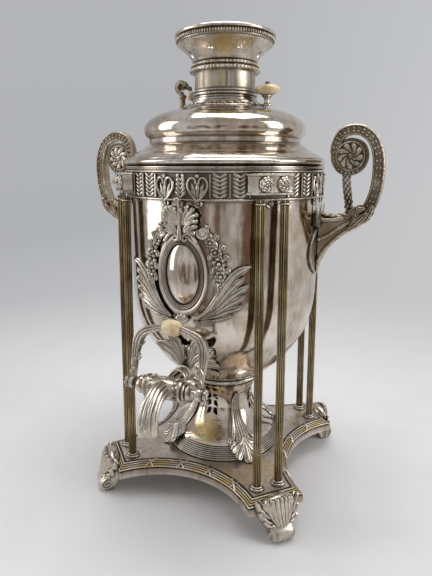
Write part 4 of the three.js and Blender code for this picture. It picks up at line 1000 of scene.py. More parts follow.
def column_work():
    """One fluted column, upright on the axis, and its moulded foot and head."""
    sizes = bpy.context.scene.samovar_sizes
    flutes = sizes.column_flutes
    rings = []
    for z, grow in ((0.6, 1), (40, 1), (150, 1), (260, 0.99), (303.4, 0.98)):
        ring = []
        for step in range(flutes * 4):
            angle = TURN * step / (flutes * 4)
            dip = 1.0 * (1 - abs(math.cos(flutes * angle / 2)))
            reach = (sizes.column_radius - 0.1 - dip) * grow
            ring.append((reach * math.cos(angle), reach * math.sin(angle), z))
        rings.append(ring)
    shaft = loft("column_shaft", rings)

    # Painted shade along the bottom of each flute.
    def amount(point):
        return max(0, 1 - 3 * abs(math.cos(flutes * math.atan2(point.y, point.x) / 2)))

    marked(shaft, amount)
    foot = [(0, 0.3), (7.7, 0.3), (7.9, 1)] + arc((6.9, 1.9), 1, -30, 90, 5) + [(6, 3)]
    foot += arc((5.6, 3.9), 0.9, -60, 90, 5) + [(4.4, 4.9), (0, 4.9)]
    head = [(0, 298.6), (4.4, 298.6)] + arc((4.7, 299.6), 0.8, -90, 90, 5)
    head += [(4.5, 300.6), (0, 300.6)]
    ends = joined("column_ends", [turned("column_foot", foot, steps=32),
                                  turned("column_head", head, steps=32)])
    return shaft, ends


class SAMOVAR_OT_columns(bpy.types.Operator):
    """Eight fluted columns, two at each corner, leaning in to the frieze"""
    bl_idname = "samovar.columns"
    bl_label = "Columns"

    def execute(self, context):
        shaft, ends = column_work()
        tilt = math.atan2(COLUMN_FOOT_REACH - COLUMN_HEAD_REACH, COLUMN_HEIGHT)
        lean = Matrix.Rotation(-tilt, 4, 'Y')
        for corner, turn in CORNERS.items():
            for letter, side in (("a", -1), ("b", 1)):
                stand = moved(COLUMN_FOOT_REACH, side * COLUMN_SPREAD, 42.2)
                place = rotated(turn - 90) @ stand @ lean
                twin = copied(shaft, "column_copy", place)
                finished(twin, f"column_{corner}_{letter}_fluted", column_brass(), "urn",
                         [f"column_{corner}_{letter}"])
                twin = copied(ends, "ends_copy", place)
                finished(twin, f"column_{corner}_{letter}_ends", cast_silver(), "urn")
        bpy.data.objects.remove(shaft)
        bpy.data.objects.remove(ends)
        return {'FINISHED'}


def block_work():
    """One corner block, drawn with its face toward -Y: mouldings above and below two rosettes."""
    steps = [(0.4, 350.2), (0, 350.6), (0, 352), (1, 352.6), (1.3, 353.4), (1.3, 366), (1, 366.8),
             (0, 367.4), (0, 369), (0.4, 369.4)]

    def ring(inset, z):
        return [(-BLOCK_HALF + inset, -BLOCK_REACH + inset, z),
                (BLOCK_HALF - inset, -BLOCK_REACH + inset, z),
                (25.2 - inset, -111.8, z), (12, -112.2, z), (-12, -112.2, z),
                (-25.2 + inset, -111.8, z)]

    parts = [loft("block_body", [ring(inset, z) for inset, z in steps])]
    radius = bpy.context.scene.samovar_sizes.rosette_radius
    for x in (-9.4, 9.4):
        # The head behind the petals is half dark: painted shade between the petals.
        parts.append(marked(ball("rosette_head", (x, -120.6, ROSETTE_Z),
                                 (radius * 1.04, 4.4, radius * 1.04), 24, 12), lambda point: 0.5))
        for share, petals, lift, place in ((1.08, 9, 3.6, -120.6), (0.78, 7, 3.6, -122.2),
                                           (0.42, 5, 3, -123.8)):
            flower = blossom("block_rosette", radius * share, petals, lift, 0.3, 0.12)
            flower.data.transform(moved(x, place, ROSETTE_Z) @ rotated(40 * share, 'Y'))
            parts.append(flower)
    return joined("block", parts)


class SAMOVAR_OT_corner_blocks(bpy.types.Operator):
    """Four corner blocks with rosettes, on the columns' heads"""
    bl_idname = "samovar.corner_blocks"
    bl_label = "Corner blocks"

    def execute(self, context):
        set_out(block_work(), "corner_block", CORNERS, cast_silver())
        return {'FINISHED'}


# ---- Urn, frieze and fire tube

URN = flow([(50.4, 134.2), (59, 140.6), (65.6, 146.6), (77, 158), (90.7, 178), (98.7, 192),
            (103.7, 208.5), (106.2, 222), (107.4, 236)], 4)
URN += [(107.9, 262), (108, 300), (108, 372.4)]


def urn_radius(z):
    return value_at([(height, radius) for radius, height in URN], z)


class SAMOVAR_OT_urn(bpy.types.Operator):
    """Round-bottomed urn with a flanged mouth"""
    bl_idname = "samovar.urn"
    bl_label = "Urn"

    def execute(self, context):
        lip = [(111, 373)] + arc((110.2, 375.2), 1.3, -60, 90, 6) + [(106.5, 377.2)]
        inside = [(max(r - 1.6, 37.5), z + (1.2 if z < 140 else 0)) for r, z in URN[::-1]]
        profile = [(37.5, 134.2)] + URN + lip + inside + [(37.5, 135.4)]
        urn = turned("urn_body_spun", profile, steps=160, closed=True)
        finished(urn, "urn_body_spun", sheet_silver(), "urn", ["urn_body"])
        return {'FINISHED'}


class SAMOVAR_OT_fire_tube(bpy.types.Operator):
    """Fire tube, and the finish of the grate inside it"""
    bl_idname = "samovar.fire_tube"
    bl_label = "Fire tube"

    def execute(self, context):
        low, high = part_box("fire_tube")
        top, bottom = high.z / MM, low.z / MM
        flange = (high.x - low.x) / 2 / MM
        profile = [(28.4, bottom), (29.9, bottom), (29.9, 133.4), (flange, 136), (flange, 137.8)]
        profile += [(29.9, 138), (29, 160), (24, 430), (24, top - 0.6), (23.4, top), (22.4, top)]
        profile += [(22.4, 430), (27.4, 160)]
        tube = turned("fire_tube_drawn", profile, steps=96, closed=True)
        finished(tube, "fire_tube_drawn", tinned(), "urn", ["fire_tube"])
        for name, material in (("fire_grate", grate_iron()), ("tap_nut", dark_brass())):
            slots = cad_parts[name].data.materials
            slots.clear()
            slots.append(material)
        return {'FINISHED'}


def palmette():
    """A heart of raised wire with a leaf inside, drawn flat about its own middle."""
    heart = flow([(0, -12), (5, -7), (9, -0.6), (9.4, 5), (6.2, 9.4), (2.4, 8.4), (1.2, 3.6)], 4)
    parts = []
    for side in (-1, 1):
        path = [(side * x, -1.2, z) for x, z in heart]
        parts.append(swept("palmette_wire", path, ellipse(1.1, 1, 8)))
        for tip, heel in (((5.8, 4.4), (1.4, -8)), ((6.6, -1.4), (1.6, -9))):
            parts.append(leaf("palmette_leaf", [(side * heel[0], heel[1]), (side * tip[0], tip[1])],
                              [(0, 1), (0.6, 3), (1, 0.8)], ribs=1, base=0.3, cup=0.9, flute=0.4,
                              across=6, along=10, thickness=0.5))
    parts.append(leaf("palmette_middle", [(0, -10), (0, -2), (0, 5)], [(0, 1.4), (0.6, 4), (1, 1)],
                      ribs=1, base=0.5, cup=1.3, flute=0.5, across=6, along=12, thickness=0.5))
    parts.append(ball("palmette_bead", (0, -1.4, 11), (1.9, 1.5, 1.9), 10, 6))
    return joined("palmette", parts)


def frieze_side():
    """A quarter of the frieze's relief, drawn flat about the middle of one side."""
    parts = []
    heart = palmette()
    for x in (-17.2, 17.2):
        parts.append(copied(heart, "palmette_copy", moved(x, 0, 356)))
    bpy.data.objects.remove(heart)
    sprig = [(0, 1.2), (0.6, 3.2), (1, 0.8)]
    for z in (347, 351, 355, 359, 363):
        for side in (-1, 1):
            parts.append(leaf("tree_leaf", [(0, z), (side * 3, z + 3.6),
                                            (side * 5.4 * (371 - z) / 24, z + 6)], sprig, ribs=1,
                              base=0.3, cup=0.9, flute=0.4, across=5, along=8, thickness=0.5))
    for side in (-1, 1):
        for x in (29, 47.5, 66):
            parts.append(swept("strip_bar", [(side * x, -0.8, z) for z in (347, 358, 369)],
                               ellipse(0.9, 0.9, 6)))
        for x in (38, 57):
            for row in range(6):
                z = 347.4 + row * 3.7
                for lean in (-1, 1):
                    parts.append(leaf("strip_leaf", [(side * x, z),
                                                     (side * x + lean * 6.4, z + 3.4)], sprig,
                                      ribs=1, base=0.3, cup=0.8, flute=0.4, across=4, along=6,
                                      thickness=0.5))
    return joined("frieze_side", parts)


class SAMOVAR_OT_frieze(bpy.types.Operator):
    """Frieze band with palmettes, leaf strips and drops"""
    bl_idname = "samovar.frieze"
    bl_label = "Frieze"

    def execute(self, context):
        profile = [(108.5, 344)] + arc((110.4, 345.2), 1.1, -90, 90, 6)
        profile += [(109.6, 346.6), (109.6, 347.2), (109.6, 369.6), (109.6, 370)]
        profile += arc((110.4, 371.2), 1.1, -90, 90, 6) + [(108.5, 372.4)]
        ground = turned("frieze_plain", profile, steps=160, closed=True)
        # The sunk ground between the relief is darkened: painted shade.
        marked(ground, lambda point: 0.75 if 347 < point.z < 369.8 else 0)
        parts = [ground]
        side = frieze_side()
        for quarter in range(4):
            parts.append(laid(copied(side, "frieze_copy"), lambda z: 110, quarter * 90))
        bpy.data.objects.remove(side)
        for quarter in range(4):
            for turn in (-9, 9, 45):
                drop = blossom("drop", 4.6, 3, 2.2, 0.3)
                drop.data.transform(moved(0, 0, 341.6))
                parts.append(laid(drop, lambda z: 109, quarter * 90 + turn))
        band = joined("frieze", parts)
        finished(band, "frieze_band_chased", cast_silver(), "urn", ["frieze_band"])
        return {'FINISHED'}


# ---- Cartouche

CARTOUCHE_X, CARTOUCHE_Z = -0.8, 272


def oval(name, rows, steps=72, closed=False):
    """Lofts ovals given as half width, half height and depth, drawn flat on the urn's front."""
    return loft(name, [[(CARTOUCHE_X + x, -depth, CARTOUCHE_Z + z) for x, z in ellipse(a, b, steps)]
                       for a, b, depth in rows], closed)


class SAMOVAR_OT_cartouche(bpy.types.Operator):
    """Plain oval boss in a reeded and moulded frame"""
    bl_idname = "samovar.cartouche"
    bl_label = "Cartouche"

    def execute(self, context):
        rise = context.scene.samovar_sizes.boss_rise
        rows = [(18.4, 30.6, 0.5)]
        rows += [(18.4 * k, 30.6 * k, 0.5 + rise * (1 - k * k) ** 0.8)
                 for k in (0.99, 0.96, 0.92, 0.86, 0.78, 0.7, 0.6, 0.5, 0.38, 0.26, 0.14, 0.04)]
        boss = laid(oval("cartouche_boss_polished", rows), urn_radius)
        finished(boss, "cartouche_boss_polished", sheet_silver(), "urn", ["cartouche_boss"])
        section = [(18.8, 31, 0.4)]
        for reed in range(3):
            section += [(18.8 + 1.35 * reed + x, 31 + 1.5 * reed + x, 1 + 0.5 * reed + z)
                        for x, z in ((0.1, 0), (0.35, 0.75), (0.7, 1), (1.05, 0.75), (1.3, 0))]
        section += [(23.2, 36.4, 2), (24, 37.6, 3.2), (25.2, 39.4, 3.9), (26.6, 41.2, 3.4),
                    (27.4, 42.4, 2), (27.6, 42.8, 0.4)]
        rim = oval("cartouche_frame_moulded", section, closed=True)
        # The frame's inner reeds beside the boss are darkened: painted shade.
        marked(rim, lambda point: min(1, 3 * max(0, 1.3 - abs(point.y + 1.2) * 2) * (
            1 if math.hypot(point.x - CARTOUCHE_X, (point.z - CARTOUCHE_Z) * 0.62) < 23 else 0)))
        parts = [rim]
        for side in (-1, 1):
            curl = flow([(side * 17, 305), (side * 11, 312.5), (side * 5, 313), (side * 2.6, 308.6),
                         (side * 5.4, 306.2), (side * 7, 308.6)], 5)
            parts.append(swept("frame_curl", [(CARTOUCHE_X + x, -4, z) for x, z in curl],
                               ellipse(1.7, 1.6, 8), sizes=tapering(1.1, 0.5, len(curl))))
        rim = laid(joined("frame", parts), urn_radius)
        finished(rim, "cartouche_frame_moulded", worn_silver(), "urn", ["cartouche_frame"])
        return {'FINISHED'}


class SAMOVAR_OT_garland(bpy.types.Operator):
    """Garland of flowers over the cartouche, with its crest"""
    bl_idname = "samovar.garland"
    bl_label = "Garland and crest"

    def execute(self, context):
        parts = []
        for side in (-1, 1):
            band = [(side * x, z) for x, z in ((14, 316), (24, 312), (32.4, 300), (37.4, 284),
                                               (38.4, 266), (37, 252))]
            parts.append(leaf("garland_band", band, [(0, 5), (0.2, 10), (0.7, 10), (1, 3)], ribs=3,
                              lobes=9, notch=0.3, base=0.8, cup=1.8, flute=1, across=20, along=70,
                              thickness=1.4))
            for x, z, radius, turn in ((28.4, 305, 5, 10), (33.4, 296, 5.6, 40),
                                       (36.6, 285, 6.8, 15), (38, 272.6, 6, 0),
                                       (38.2, 262, 4.6, 20)):
                flower = blossom("garland_flower", radius, 6, radius * 0.62, 0.26, 0.24)
                flower.data.transform(moved(side * x, -2.2, z) @ rotated(turn, 'Y'))
                parts.append(flower)
            for x, z, lean in ((33, 309, 30), (38.6, 300, 44), (42.6, 290, 52), (44, 277, 66),
                               (43.4, 266, 84), (24, 318, 12), (29.6, 292, 200), (31.6, 279, 190),
                               (33, 267, 180)):
                angle = math.radians(lean)
                tip = (side * (x + 4.4 * math.sin(angle)), z + 4.4 * math.cos(angle))
                heel = (side * (x - 4.4 * math.sin(angle)), z - 4.4 * math.cos(angle))
                parts.append(leaf("garland_leaf", [heel, (side * x, z), tip],
                                  [(0, 2.4), (0.45, 7), (0.8, 5), (1, 0.8)], ribs=2, base=1.2,
                                  cup=1.8, flute=0.8, curl=1.5, across=12, along=16))
            parts += volute("garland_roll", (side * 22, -3.6, 315), 6, 1.5, 1.9, 90 + side * 70,
                            side)
            parts += fan("garland_bud", (side * 37.6, 257), side * 170, 60, 3, 17, 5,
                         base=1.2, cup=1.6, flute=0.6)
        swag = laid(joined("garland_flowers", parts), urn_radius)
        crest = []
        for side in (-1, 1):
            crest += fan("crest_fan", (side * 2, 321), side * 35, side * 62, 5, 21, 7.6, base=3,
                         cup=2.8, flute=0.8, curl=3.6, thickness=1.6)
            crest += fan("crest_lobe", (side * 2, 315), side * 66, side * 46, 3, 16.5, 7.6,
                         base=3.6, cup=2.8, flute=0.8, curl=1.6, thickness=1.6)
        rib = [(CARTOUCHE_X, 307), (0, 322), (0, 336), (0, 346)]
        crest.append(leaf("crest_rib", rib, [(0, 6), (0.3, 3.6), (0.8, 3.6), (0.92, 5.6), (1, 3)],
                          ribs=1, base=5.4, cup=3, flute=0.4, curl=4, across=10, along=30,
                          thickness=3))
        crest.append(ball("crest_knob", (0, -11, 345.6), (2.8, 2.4, 2.6)))
        top = laid(joined("garland_crest", crest), urn_radius)
        finished(joined("garland", [swag, top]), "cartouche_garland_cast", cast_silver(), "urn",
                 ["cartouche_garland"])
        return {'FINISHED'}


def palm_work():
    """The right-hand palm, drawn flat: plumes that leave one stem and curl up at their tips."""
    plume = [(0, 3), (0.25, 6.4), (0.6, 8.4), (0.85, 6.6), (1, 1.4)]
    paths = [
        ([(14, 227), (27, 238), (37, 252), (46, 266), (55, 276.5), (66.5, 282.5)], 1.1),
        ([(22, 233), (34, 243), (43, 254), (52, 264), (60.5, 271.6)], 1),
        ([(22, 231), (36, 240), (46, 249.6), (55, 256.6), (64.5, 263.6)], 1),
        ([(20, 229), (34, 236), (45, 243), (53.6, 247.6), (61.4, 253.6)], 0.95),
        ([(19, 227.6), (33, 232), (44, 236.4), (52.6, 239), (60, 243.6)], 0.9),
        ([(18, 226), (31, 227.6), (41, 230), (50, 233.6)], 0.75),
        ([(24, 236), (31, 246), (35.6, 257), (34.6, 267)], 0.62),
        ([(25, 236), (34, 246), (40.6, 255), (43.6, 263)], 0.6),
    ]
    parts = []
    for row, (path, share) in enumerate(paths):
        widths = [(u, width * share) for u, width in plume]
        parts.append(leaf("palm_plume", path, widths, ribs=2, base=0.9 + 0.14 * (5 - min(row, 5)),
                          cup=2.6, flute=1.2, sweep=0.35, curl=3.6, across=16, along=40,
                          thickness=1.8))
    parts.append(leaf("palm_base", [(10, 224), (22, 223), (33, 227)], [(0, 3), (0.5, 7), (1, 1)],
                      base=1.2, cup=1.2, across=12, along=18))
    return joined("palm", parts)


class SAMOVAR_OT_palms(bpy.types.Operator):
    """Two palm leaves under the cartouche, with a shell between them"""
    bl_idname = "samovar.palms"
    bl_label = "Palm leaves"

    def execute(self, context):
        palm = palm_work()
        for name, matrix in (("right", Matrix.Identity(4)), ("left", MIRROR_X)):
            parts = [copied(palm, "palm_copy", matrix)]
            if name == "right":
                for turn in (-60, -30, 0, 30, 60):
                    angle = math.radians(turn)
                    tip = (CARTOUCHE_X + 8 * math.sin(angle), 223 + 9 * math.cos(angle))
                    parts.append(leaf("shell_rib", [(CARTOUCHE_X, 222), tip],
                                      [(0, 1.4), (0.8, 4.4), (1, 2.4)], ribs=1, base=3, cup=1.6,
                                      flute=0.6, across=8, along=10))
            twin = laid(joined("palm_set", parts), urn_radius)
            finished(twin, f"palm_{name}_cast", cast_silver(), "urn", [f"palm_{name}"])
        bpy.data.objects.remove(palm)
        return {'FINISHED'}


# ---- Tap

TAP_Y, TAP_Z = -149.7, 168.6
GRIP_OUT, GRIP_UP = 16.5, 55.8  # the grip's middle, from the plug's axis


class SAMOVAR_OT_escutcheon(bpy.types.Operator):
    """Leafy escutcheon behind the tap's shank"""
    bl_idname = "samovar.escutcheon"
    bl_label = "Tap escutcheon"

    def execute(self, context):
        parts = []
        for turn in range(10):
            angle = TURN * turn / 10 + TURN / 20
            x, z = math.sin(angle), math.cos(angle)
            reach = 28 if abs(x) > 0.8 else 20
            parts.append(leaf("escutcheon_leaf", [
                (x * 7, TAP_Z + z * 7), (x * reach * 0.6, TAP_Z + z * reach * 0.6),
                (x * reach, TAP_Z + z * reach * 0.96)], [(0, 5), (0.5, 12), (0.85, 10), (1, 2)],
                lobes=3, base=0.8, cup=1.3, flute=0.9, curl=1.6, along=26))
        for side in (-1, 1):
            parts += fan("escutcheon_fan", (side * 5, TAP_Z + 7), side * 38, side * 84, 5, 27, 11,
                         base=2, cup=2, flute=1.2, curl=2, thickness=1.8)
        shield = laid(joined("escutcheon", parts), urn_radius)
        parts = [shield]
        for side in (-1, 1):
            for spine, width in (([(side * 3, 171), (side * 14, 186), (side * 32, 197)], 17),
                                 ([(side * 4, 176), (side * 8, 192), (side * 17, 206)], 14)):
                blade = leaf("tap_leaf", spine, [(0, 5), (0.45, width), (0.8, width * 0.9), (1, 3)],
                             ribs=3, lobes=3, base=0, cup=3, flute=1.2, curl=4, across=30, along=40,
                             thickness=1.8)
                blade.data.transform(moved(0, -103, 0))
                parts.append(blade)
        shield = joined("escutcheon", parts)
        finished(shield, "tap_escutcheon_cast", cast_silver(), "urn", ["tap_escutcheon"])
        return {'FINISHED'}


def spout_work():
    """The spout: a ribbed tube that leaves the barrel and bends down to its mouth."""
    path = flow([(TAP_Y - 2, TAP_Z), (-160, TAP_Z + 1.4), (-168.2, TAP_Z - 0.6), (-176.2, 163),
                 (-181.4, 156), (-183.4, 148), (-183.6, 139.2)], 5)
    rings, last = [], len(path) - 1
    for i, (y, z) in enumerate(path):
        before, after = path[max(i - 1, 0)], path[min(i + 1, last)]
        along = Vector((0, after[0] - before[0], after[1] - before[1])).normalized()
        across, up = Vector((1, 0, 0)), Vector((1, 0, 0)).cross(along)
        share = i / last
        flare = 9.1 + 0.9 * share * share
        ring = []
        for step in range(104):
            angle = TURN * step / 104
            dip = 1.6 * (1 - abs(math.cos(6 * angle)) ** 0.6)
            reach = flare - dip * min(1, 3.2 * (1 - share)) * min(1, 5 * share)
            ring.append(Vector((0, y, z)) + (across * math.cos(angle)
                                             + up * math.sin(angle)) * reach)
        rings.append(ring)
    mouth = Vector((0, path[-1][0], path[-1][1]))
    for shrink, rise in ((1.01, -0.5), (0.96, -1), (0.88, -0.9), (0.8, 0), (0.6, 4), (0.55, 9)):
        rings.append([mouth + (point - mouth) * shrink + Vector((0, 0, rise))
                      for point in rings[last]])
    # The inside of the mouth is dark: painted shade.
    spout = loft("spout", rings, hollows=[0] * (len(rings) - 2) + [0.9, 1])

    # Painted shade in the flutes between the spout's ribs.
    def amount(point):
        y, z = min(path, key=lambda spot: (spot[0] - point.y) ** 2 + (spot[1] - point.z) ** 2)
        out = math.hypot(point.x, math.hypot(point.y - y, point.z - z))
        return max(0, min(1, (8.7 - out) / 0.6)) if point.z > 145 else 0

    marked(spout, amount)
    curl = joined("spout_curl", volute("spout_curl", (0, 0, 0), 4, 1.3, 1.3))
    curl.data.transform(moved(0, -192.4, 146) @ rotated(12, 'X'))
    return [spout, curl]


class SAMOVAR_OT_tap_body(bpy.types.Operator):
    """Tap's casting: shank with rings, barrel and fluted spout"""
    bl_idname = "samovar.tap_body"
    bl_label = "Tap body"

    def execute(self, context):
        forward = (0, -1, 0)
        start = (0, 0, TAP_Z)
        shank = [(0, 69), (7.1, 69), (7.1, 98.6), (10.6, 99.4), (10.9, 100.8), (9.4, 102.2),
                 (7.8, 104.4), (7.3, 108), (7.5, 110.6), (8.6, 111.2), (9, 112.4), (8.6, 113.6),
                 (7.4, 114.4), (7.2, 118), (7.4, 121.6), (8.6, 122.2), (9, 123.4), (8.6, 124.6),
                 (7.4, 125.4), (7.2, 132), (7.2, 141), (0, 141)]
        parts = [turned("tap_shank", shank, start, forward, 48)]
        half = 20
        barrel = [(8.4, -half), (10.9, -half), (11.2, -half + 0.8), (11.2, -half + 2.4),
                  (10.4, -half + 3.2)]
        barrel += flow([(9.9, -half + 5), (10.6, -8), (11.1, 0), (10.6, 8), (9.9, half - 5)], 4)
        barrel += [(10.4, half - 3.2), (11.2, half - 2.4), (11.2, half - 0.8), (10.9, half),
                   (8.4, half)]
        parts.append(turned("tap_barrel", barrel, (0, TAP_Y, TAP_Z), (1, 0, 0), 64, closed=True))
        parts += spout_work()
        for turn in range(0, 360, 45):
            blade = leaf("shank_leaf", [(0, 0), (0, 12), (0, 25)],
                         [(0, 7), (0.5, 8), (0.9, 4.4), (1, 1)], base=0.5, cup=1, flute=0.7,
                         curl=1.5)
            blade.data.transform(moved(0, 0, TAP_Z) @ rotated(turn, 'Y') @ moved(0, -139, 7.4)
                                 @ rotated(-90, 'X') @ MIRROR_Y)
            blade.data.flip_normals()
            parts.append(blade)
        for x in (-13, 13):
            for turn in range(0, 360, 30):
                bead = ball("barrel_bead", (x, 0, 10.4), (2, 2.2, 1.6), 8, 6)
                bead.data.transform(moved(0, TAP_Y, TAP_Z) @ rotated(turn, 'X'))
                parts.append(bead)
        body = joined("tap", parts)
        finished(body, "tap_body_cast", cast_silver(), "urn", ["tap_body"])
        return {'FINISHED'}


class SAMOVAR_OT_tap_key(bpy.types.Operator):
    """Tap's plug with its ball end, stepped collar and rosette caps"""
    bl_idname = "samovar.tap_key"
    bl_label = "Tap plug"

    def execute(self, context):
        centre = (0, TAP_Y, TAP_Z)
        across = (1, 0, 0)
        plug = [(0, -41), (3.4, -41), (3.5, -40), (3.5, -30.6)]
        plug += flow([(4.6, -30), (7.4, -28.8), (8.9, -26), (9.1, -24.6), (8.2, -22), (6, -20.4)],
                     4)
        plug += [(6, -20.3), (7.2, -20), (8, 20), (3.5, 20.1), (3.5, 40), (3.4, 41), (0, 41)]
        key = turned("tap_plug_turned", plug, centre, across, 64)
        finished(key, "tap_plug_turned", sheet_silver(), "tap_key", ["tap_plug"])
        ring = [(3.9, 20.4), (8.6, 20.4), (8.9, 21), (8.9, 22.2), (8.4, 22.8), (6.8, 23.2),
                (6.6, 24.2)]
        ring += [(7.9, 24.8), (8.2, 25.4), (8, 26.4), (6.4, 27.2), (4.6, 27.6), (3.9, 27.6)]
        collar = turned("plug_collar_turned", ring, centre, across, 64, closed=True)
        finished(collar, "plug_collar_turned", cast_silver(), "tap_key", ["plug_collar"])
        for name, side in (("right", 1), ("left", -1)):
            cap = [(3.9, 39.1), (6.2, 39.1), (6.6, 39.6), (6.4, 40.4), (5.4, 41), (5.6, 41.6),
                   (5.2, 42.2)]
            cap = turned("cap_ring", [(r, side * h) for r, h in cap] + [(3.9, side * 42.3)], centre,
                         across, 48, closed=True)
            flower = blossom("cap_flower", 5.8, 6, 2.6, 0.36)
            flower.data.transform(moved(side * 41.6, TAP_Y, TAP_Z) @ rotated(90 * side))
            cap = joined("cap", [cap, flower])
            finished(cap, f"plug_cap_{name}_cast", cast_silver(), "tap_key", [f"plug_cap_{name}"])
        return {'FINISHED'}


class SAMOVAR_OT_stirrup(bpy.types.Operator):
    """Stirrup lever with its ivory grip"""
    bl_idname = "samovar.stirrup"
    bl_label = "Stirrup and grip"

    def execute(self, context):
        sizes = context.scene.samovar_sizes
        lean = GRIP_OUT / GRIP_UP
        tilt = rotated(-math.degrees(math.atan(lean)), 'X')
        arm = [(36, 2.6), (36.4, 12), (36.8, 24), (36.4, 34), (35, 42), (31, 48), (24, 51.6),
               (16, 54), (9.8, GRIP_UP)]
        path = flow(arm, 4) + [(0, GRIP_UP)] + [(-x, z) for x, z in flow(arm, 4)[::-1]]
        half = sizes.bar_width / 2
        section = []
        for reed in range(3):
            for z in (-0.9, -0.5, 0, 0.5, 0.9):
                section.append((half * (2 * reed - 2 + 0.96 * z) / 3,
                                -1.5 - 1.1 * math.sqrt(1 - z * z)))
        section += [(-x, -z) for x, z in section]
        sizes_along = [value_at([(0, 0.85), (12, 0.95), (26, 1.15), (40, 1.6), (50, 1.5),
                                 (55.6, 1.1)], z) for x, z in path]
        bar = swept("stirrup_bar", [(x, TAP_Y + z * lean, TAP_Z + z) for x, z in path], section,
                    side=(0, 1, -lean), sizes=sizes_along)
        parts = [bar]
        for side in (-1, 1):
            spur = joined("stirrup_spur", volute("stirrup_spur", (side * 33.6, 0, 26), 3.6, 1.4,
                                                 1.3, 90, side))
            spur.data.transform(moved(0, TAP_Y - 1, TAP_Z) @ tilt)
            parts.append(spur)
            for low, high, wide in ((4, 16, 5.6), (12, 25, 6)):
                blade = leaf("stirrup_leaf", [(side * 36.4, low), (side * 37, (low + high) / 2),
                                              (side * 35, high)],
                             [(0, 3), (0.5, wide), (0.85, wide * 0.7), (1, 1)], base=0.5, cup=1.2,
                             flute=0.8, curl=2)
                blade.data.transform(moved(0, TAP_Y - 1.6, TAP_Z) @ tilt)
                parts.append(blade)
        for side in (-1, 1):
            eye = [(3.9, side * 33.4), (6, side * 33.4), (6.3, side * 34), (6.3, side * 38),
                   (6, side * 38.6), (3.9, side * 38.6)]
            parts.append(turned("stirrup_eye", eye, (0, TAP_Y, TAP_Z), (1, 0, 0), 48, closed=True))
        thorn = flow([(-33.4, TAP_Y + 36 * lean, TAP_Z + 36),
                      (-29.5, TAP_Y + 37 * lean, TAP_Z + 37.4),
                      (-27.6, TAP_Y + 40 * lean, TAP_Z + 40.4)], 4)
        parts.append(swept("stirrup_spur", thorn, ellipse(1.7, 1.5, 8), (0, 1, -lean),
                           tapering(1.1, 0.8, len(thorn))))
        stirrup = joined("stirrup", parts)
        finished(stirrup, "tap_stirrup_cast", cast_silver(), "tap_key", ["tap_stirrup"])
        half = sizes.grip_length / 2
        profile = [(2.9, -half), (4.6, -half)] + flow([(5.4, -half + 0.5), (7.4, -half * 0.62),
                                                       (8.1, 0), (7.4, half * 0.62),
                                                       (5.4, half - 0.5)], 5)
        profile += [(4.6, half), (2.9, half)]
        grip = turned("tap_grip_turned", profile, (0, TAP_Y + GRIP_OUT, TAP_Z + GRIP_UP), (1, 0, 0),
                      64, closed=True)
        finished(grip, "tap_grip_turned", ivory(), "tap_key", ["tap_grip"])
        return {'FINISHED'}


# ---- Handles

DISC_X, DISC_Z = 139, 386  # middle of the rosette disc inside the scroll


def band_section(half, depth):
    """The handles' band: raised rims round a sunk face, front and back."""
    return [(-half, -depth + 0.6), (-half + 0.6, -depth), (-half + 1.5, -depth),
            (-half + 2, -depth + 0.9), (half - 2, -depth + 0.9), (half - 1.5, -depth),
            (half - 0.6, -depth), (half, -depth + 0.6), (half, depth - 0.6), (half - 0.6, depth),
            (half - 1.5, depth), (half - 2, depth - 0.9), (-half + 2, depth - 0.9),
            (-half + 1.5, depth), (-half + 0.6, depth), (-half, depth - 0.6)]


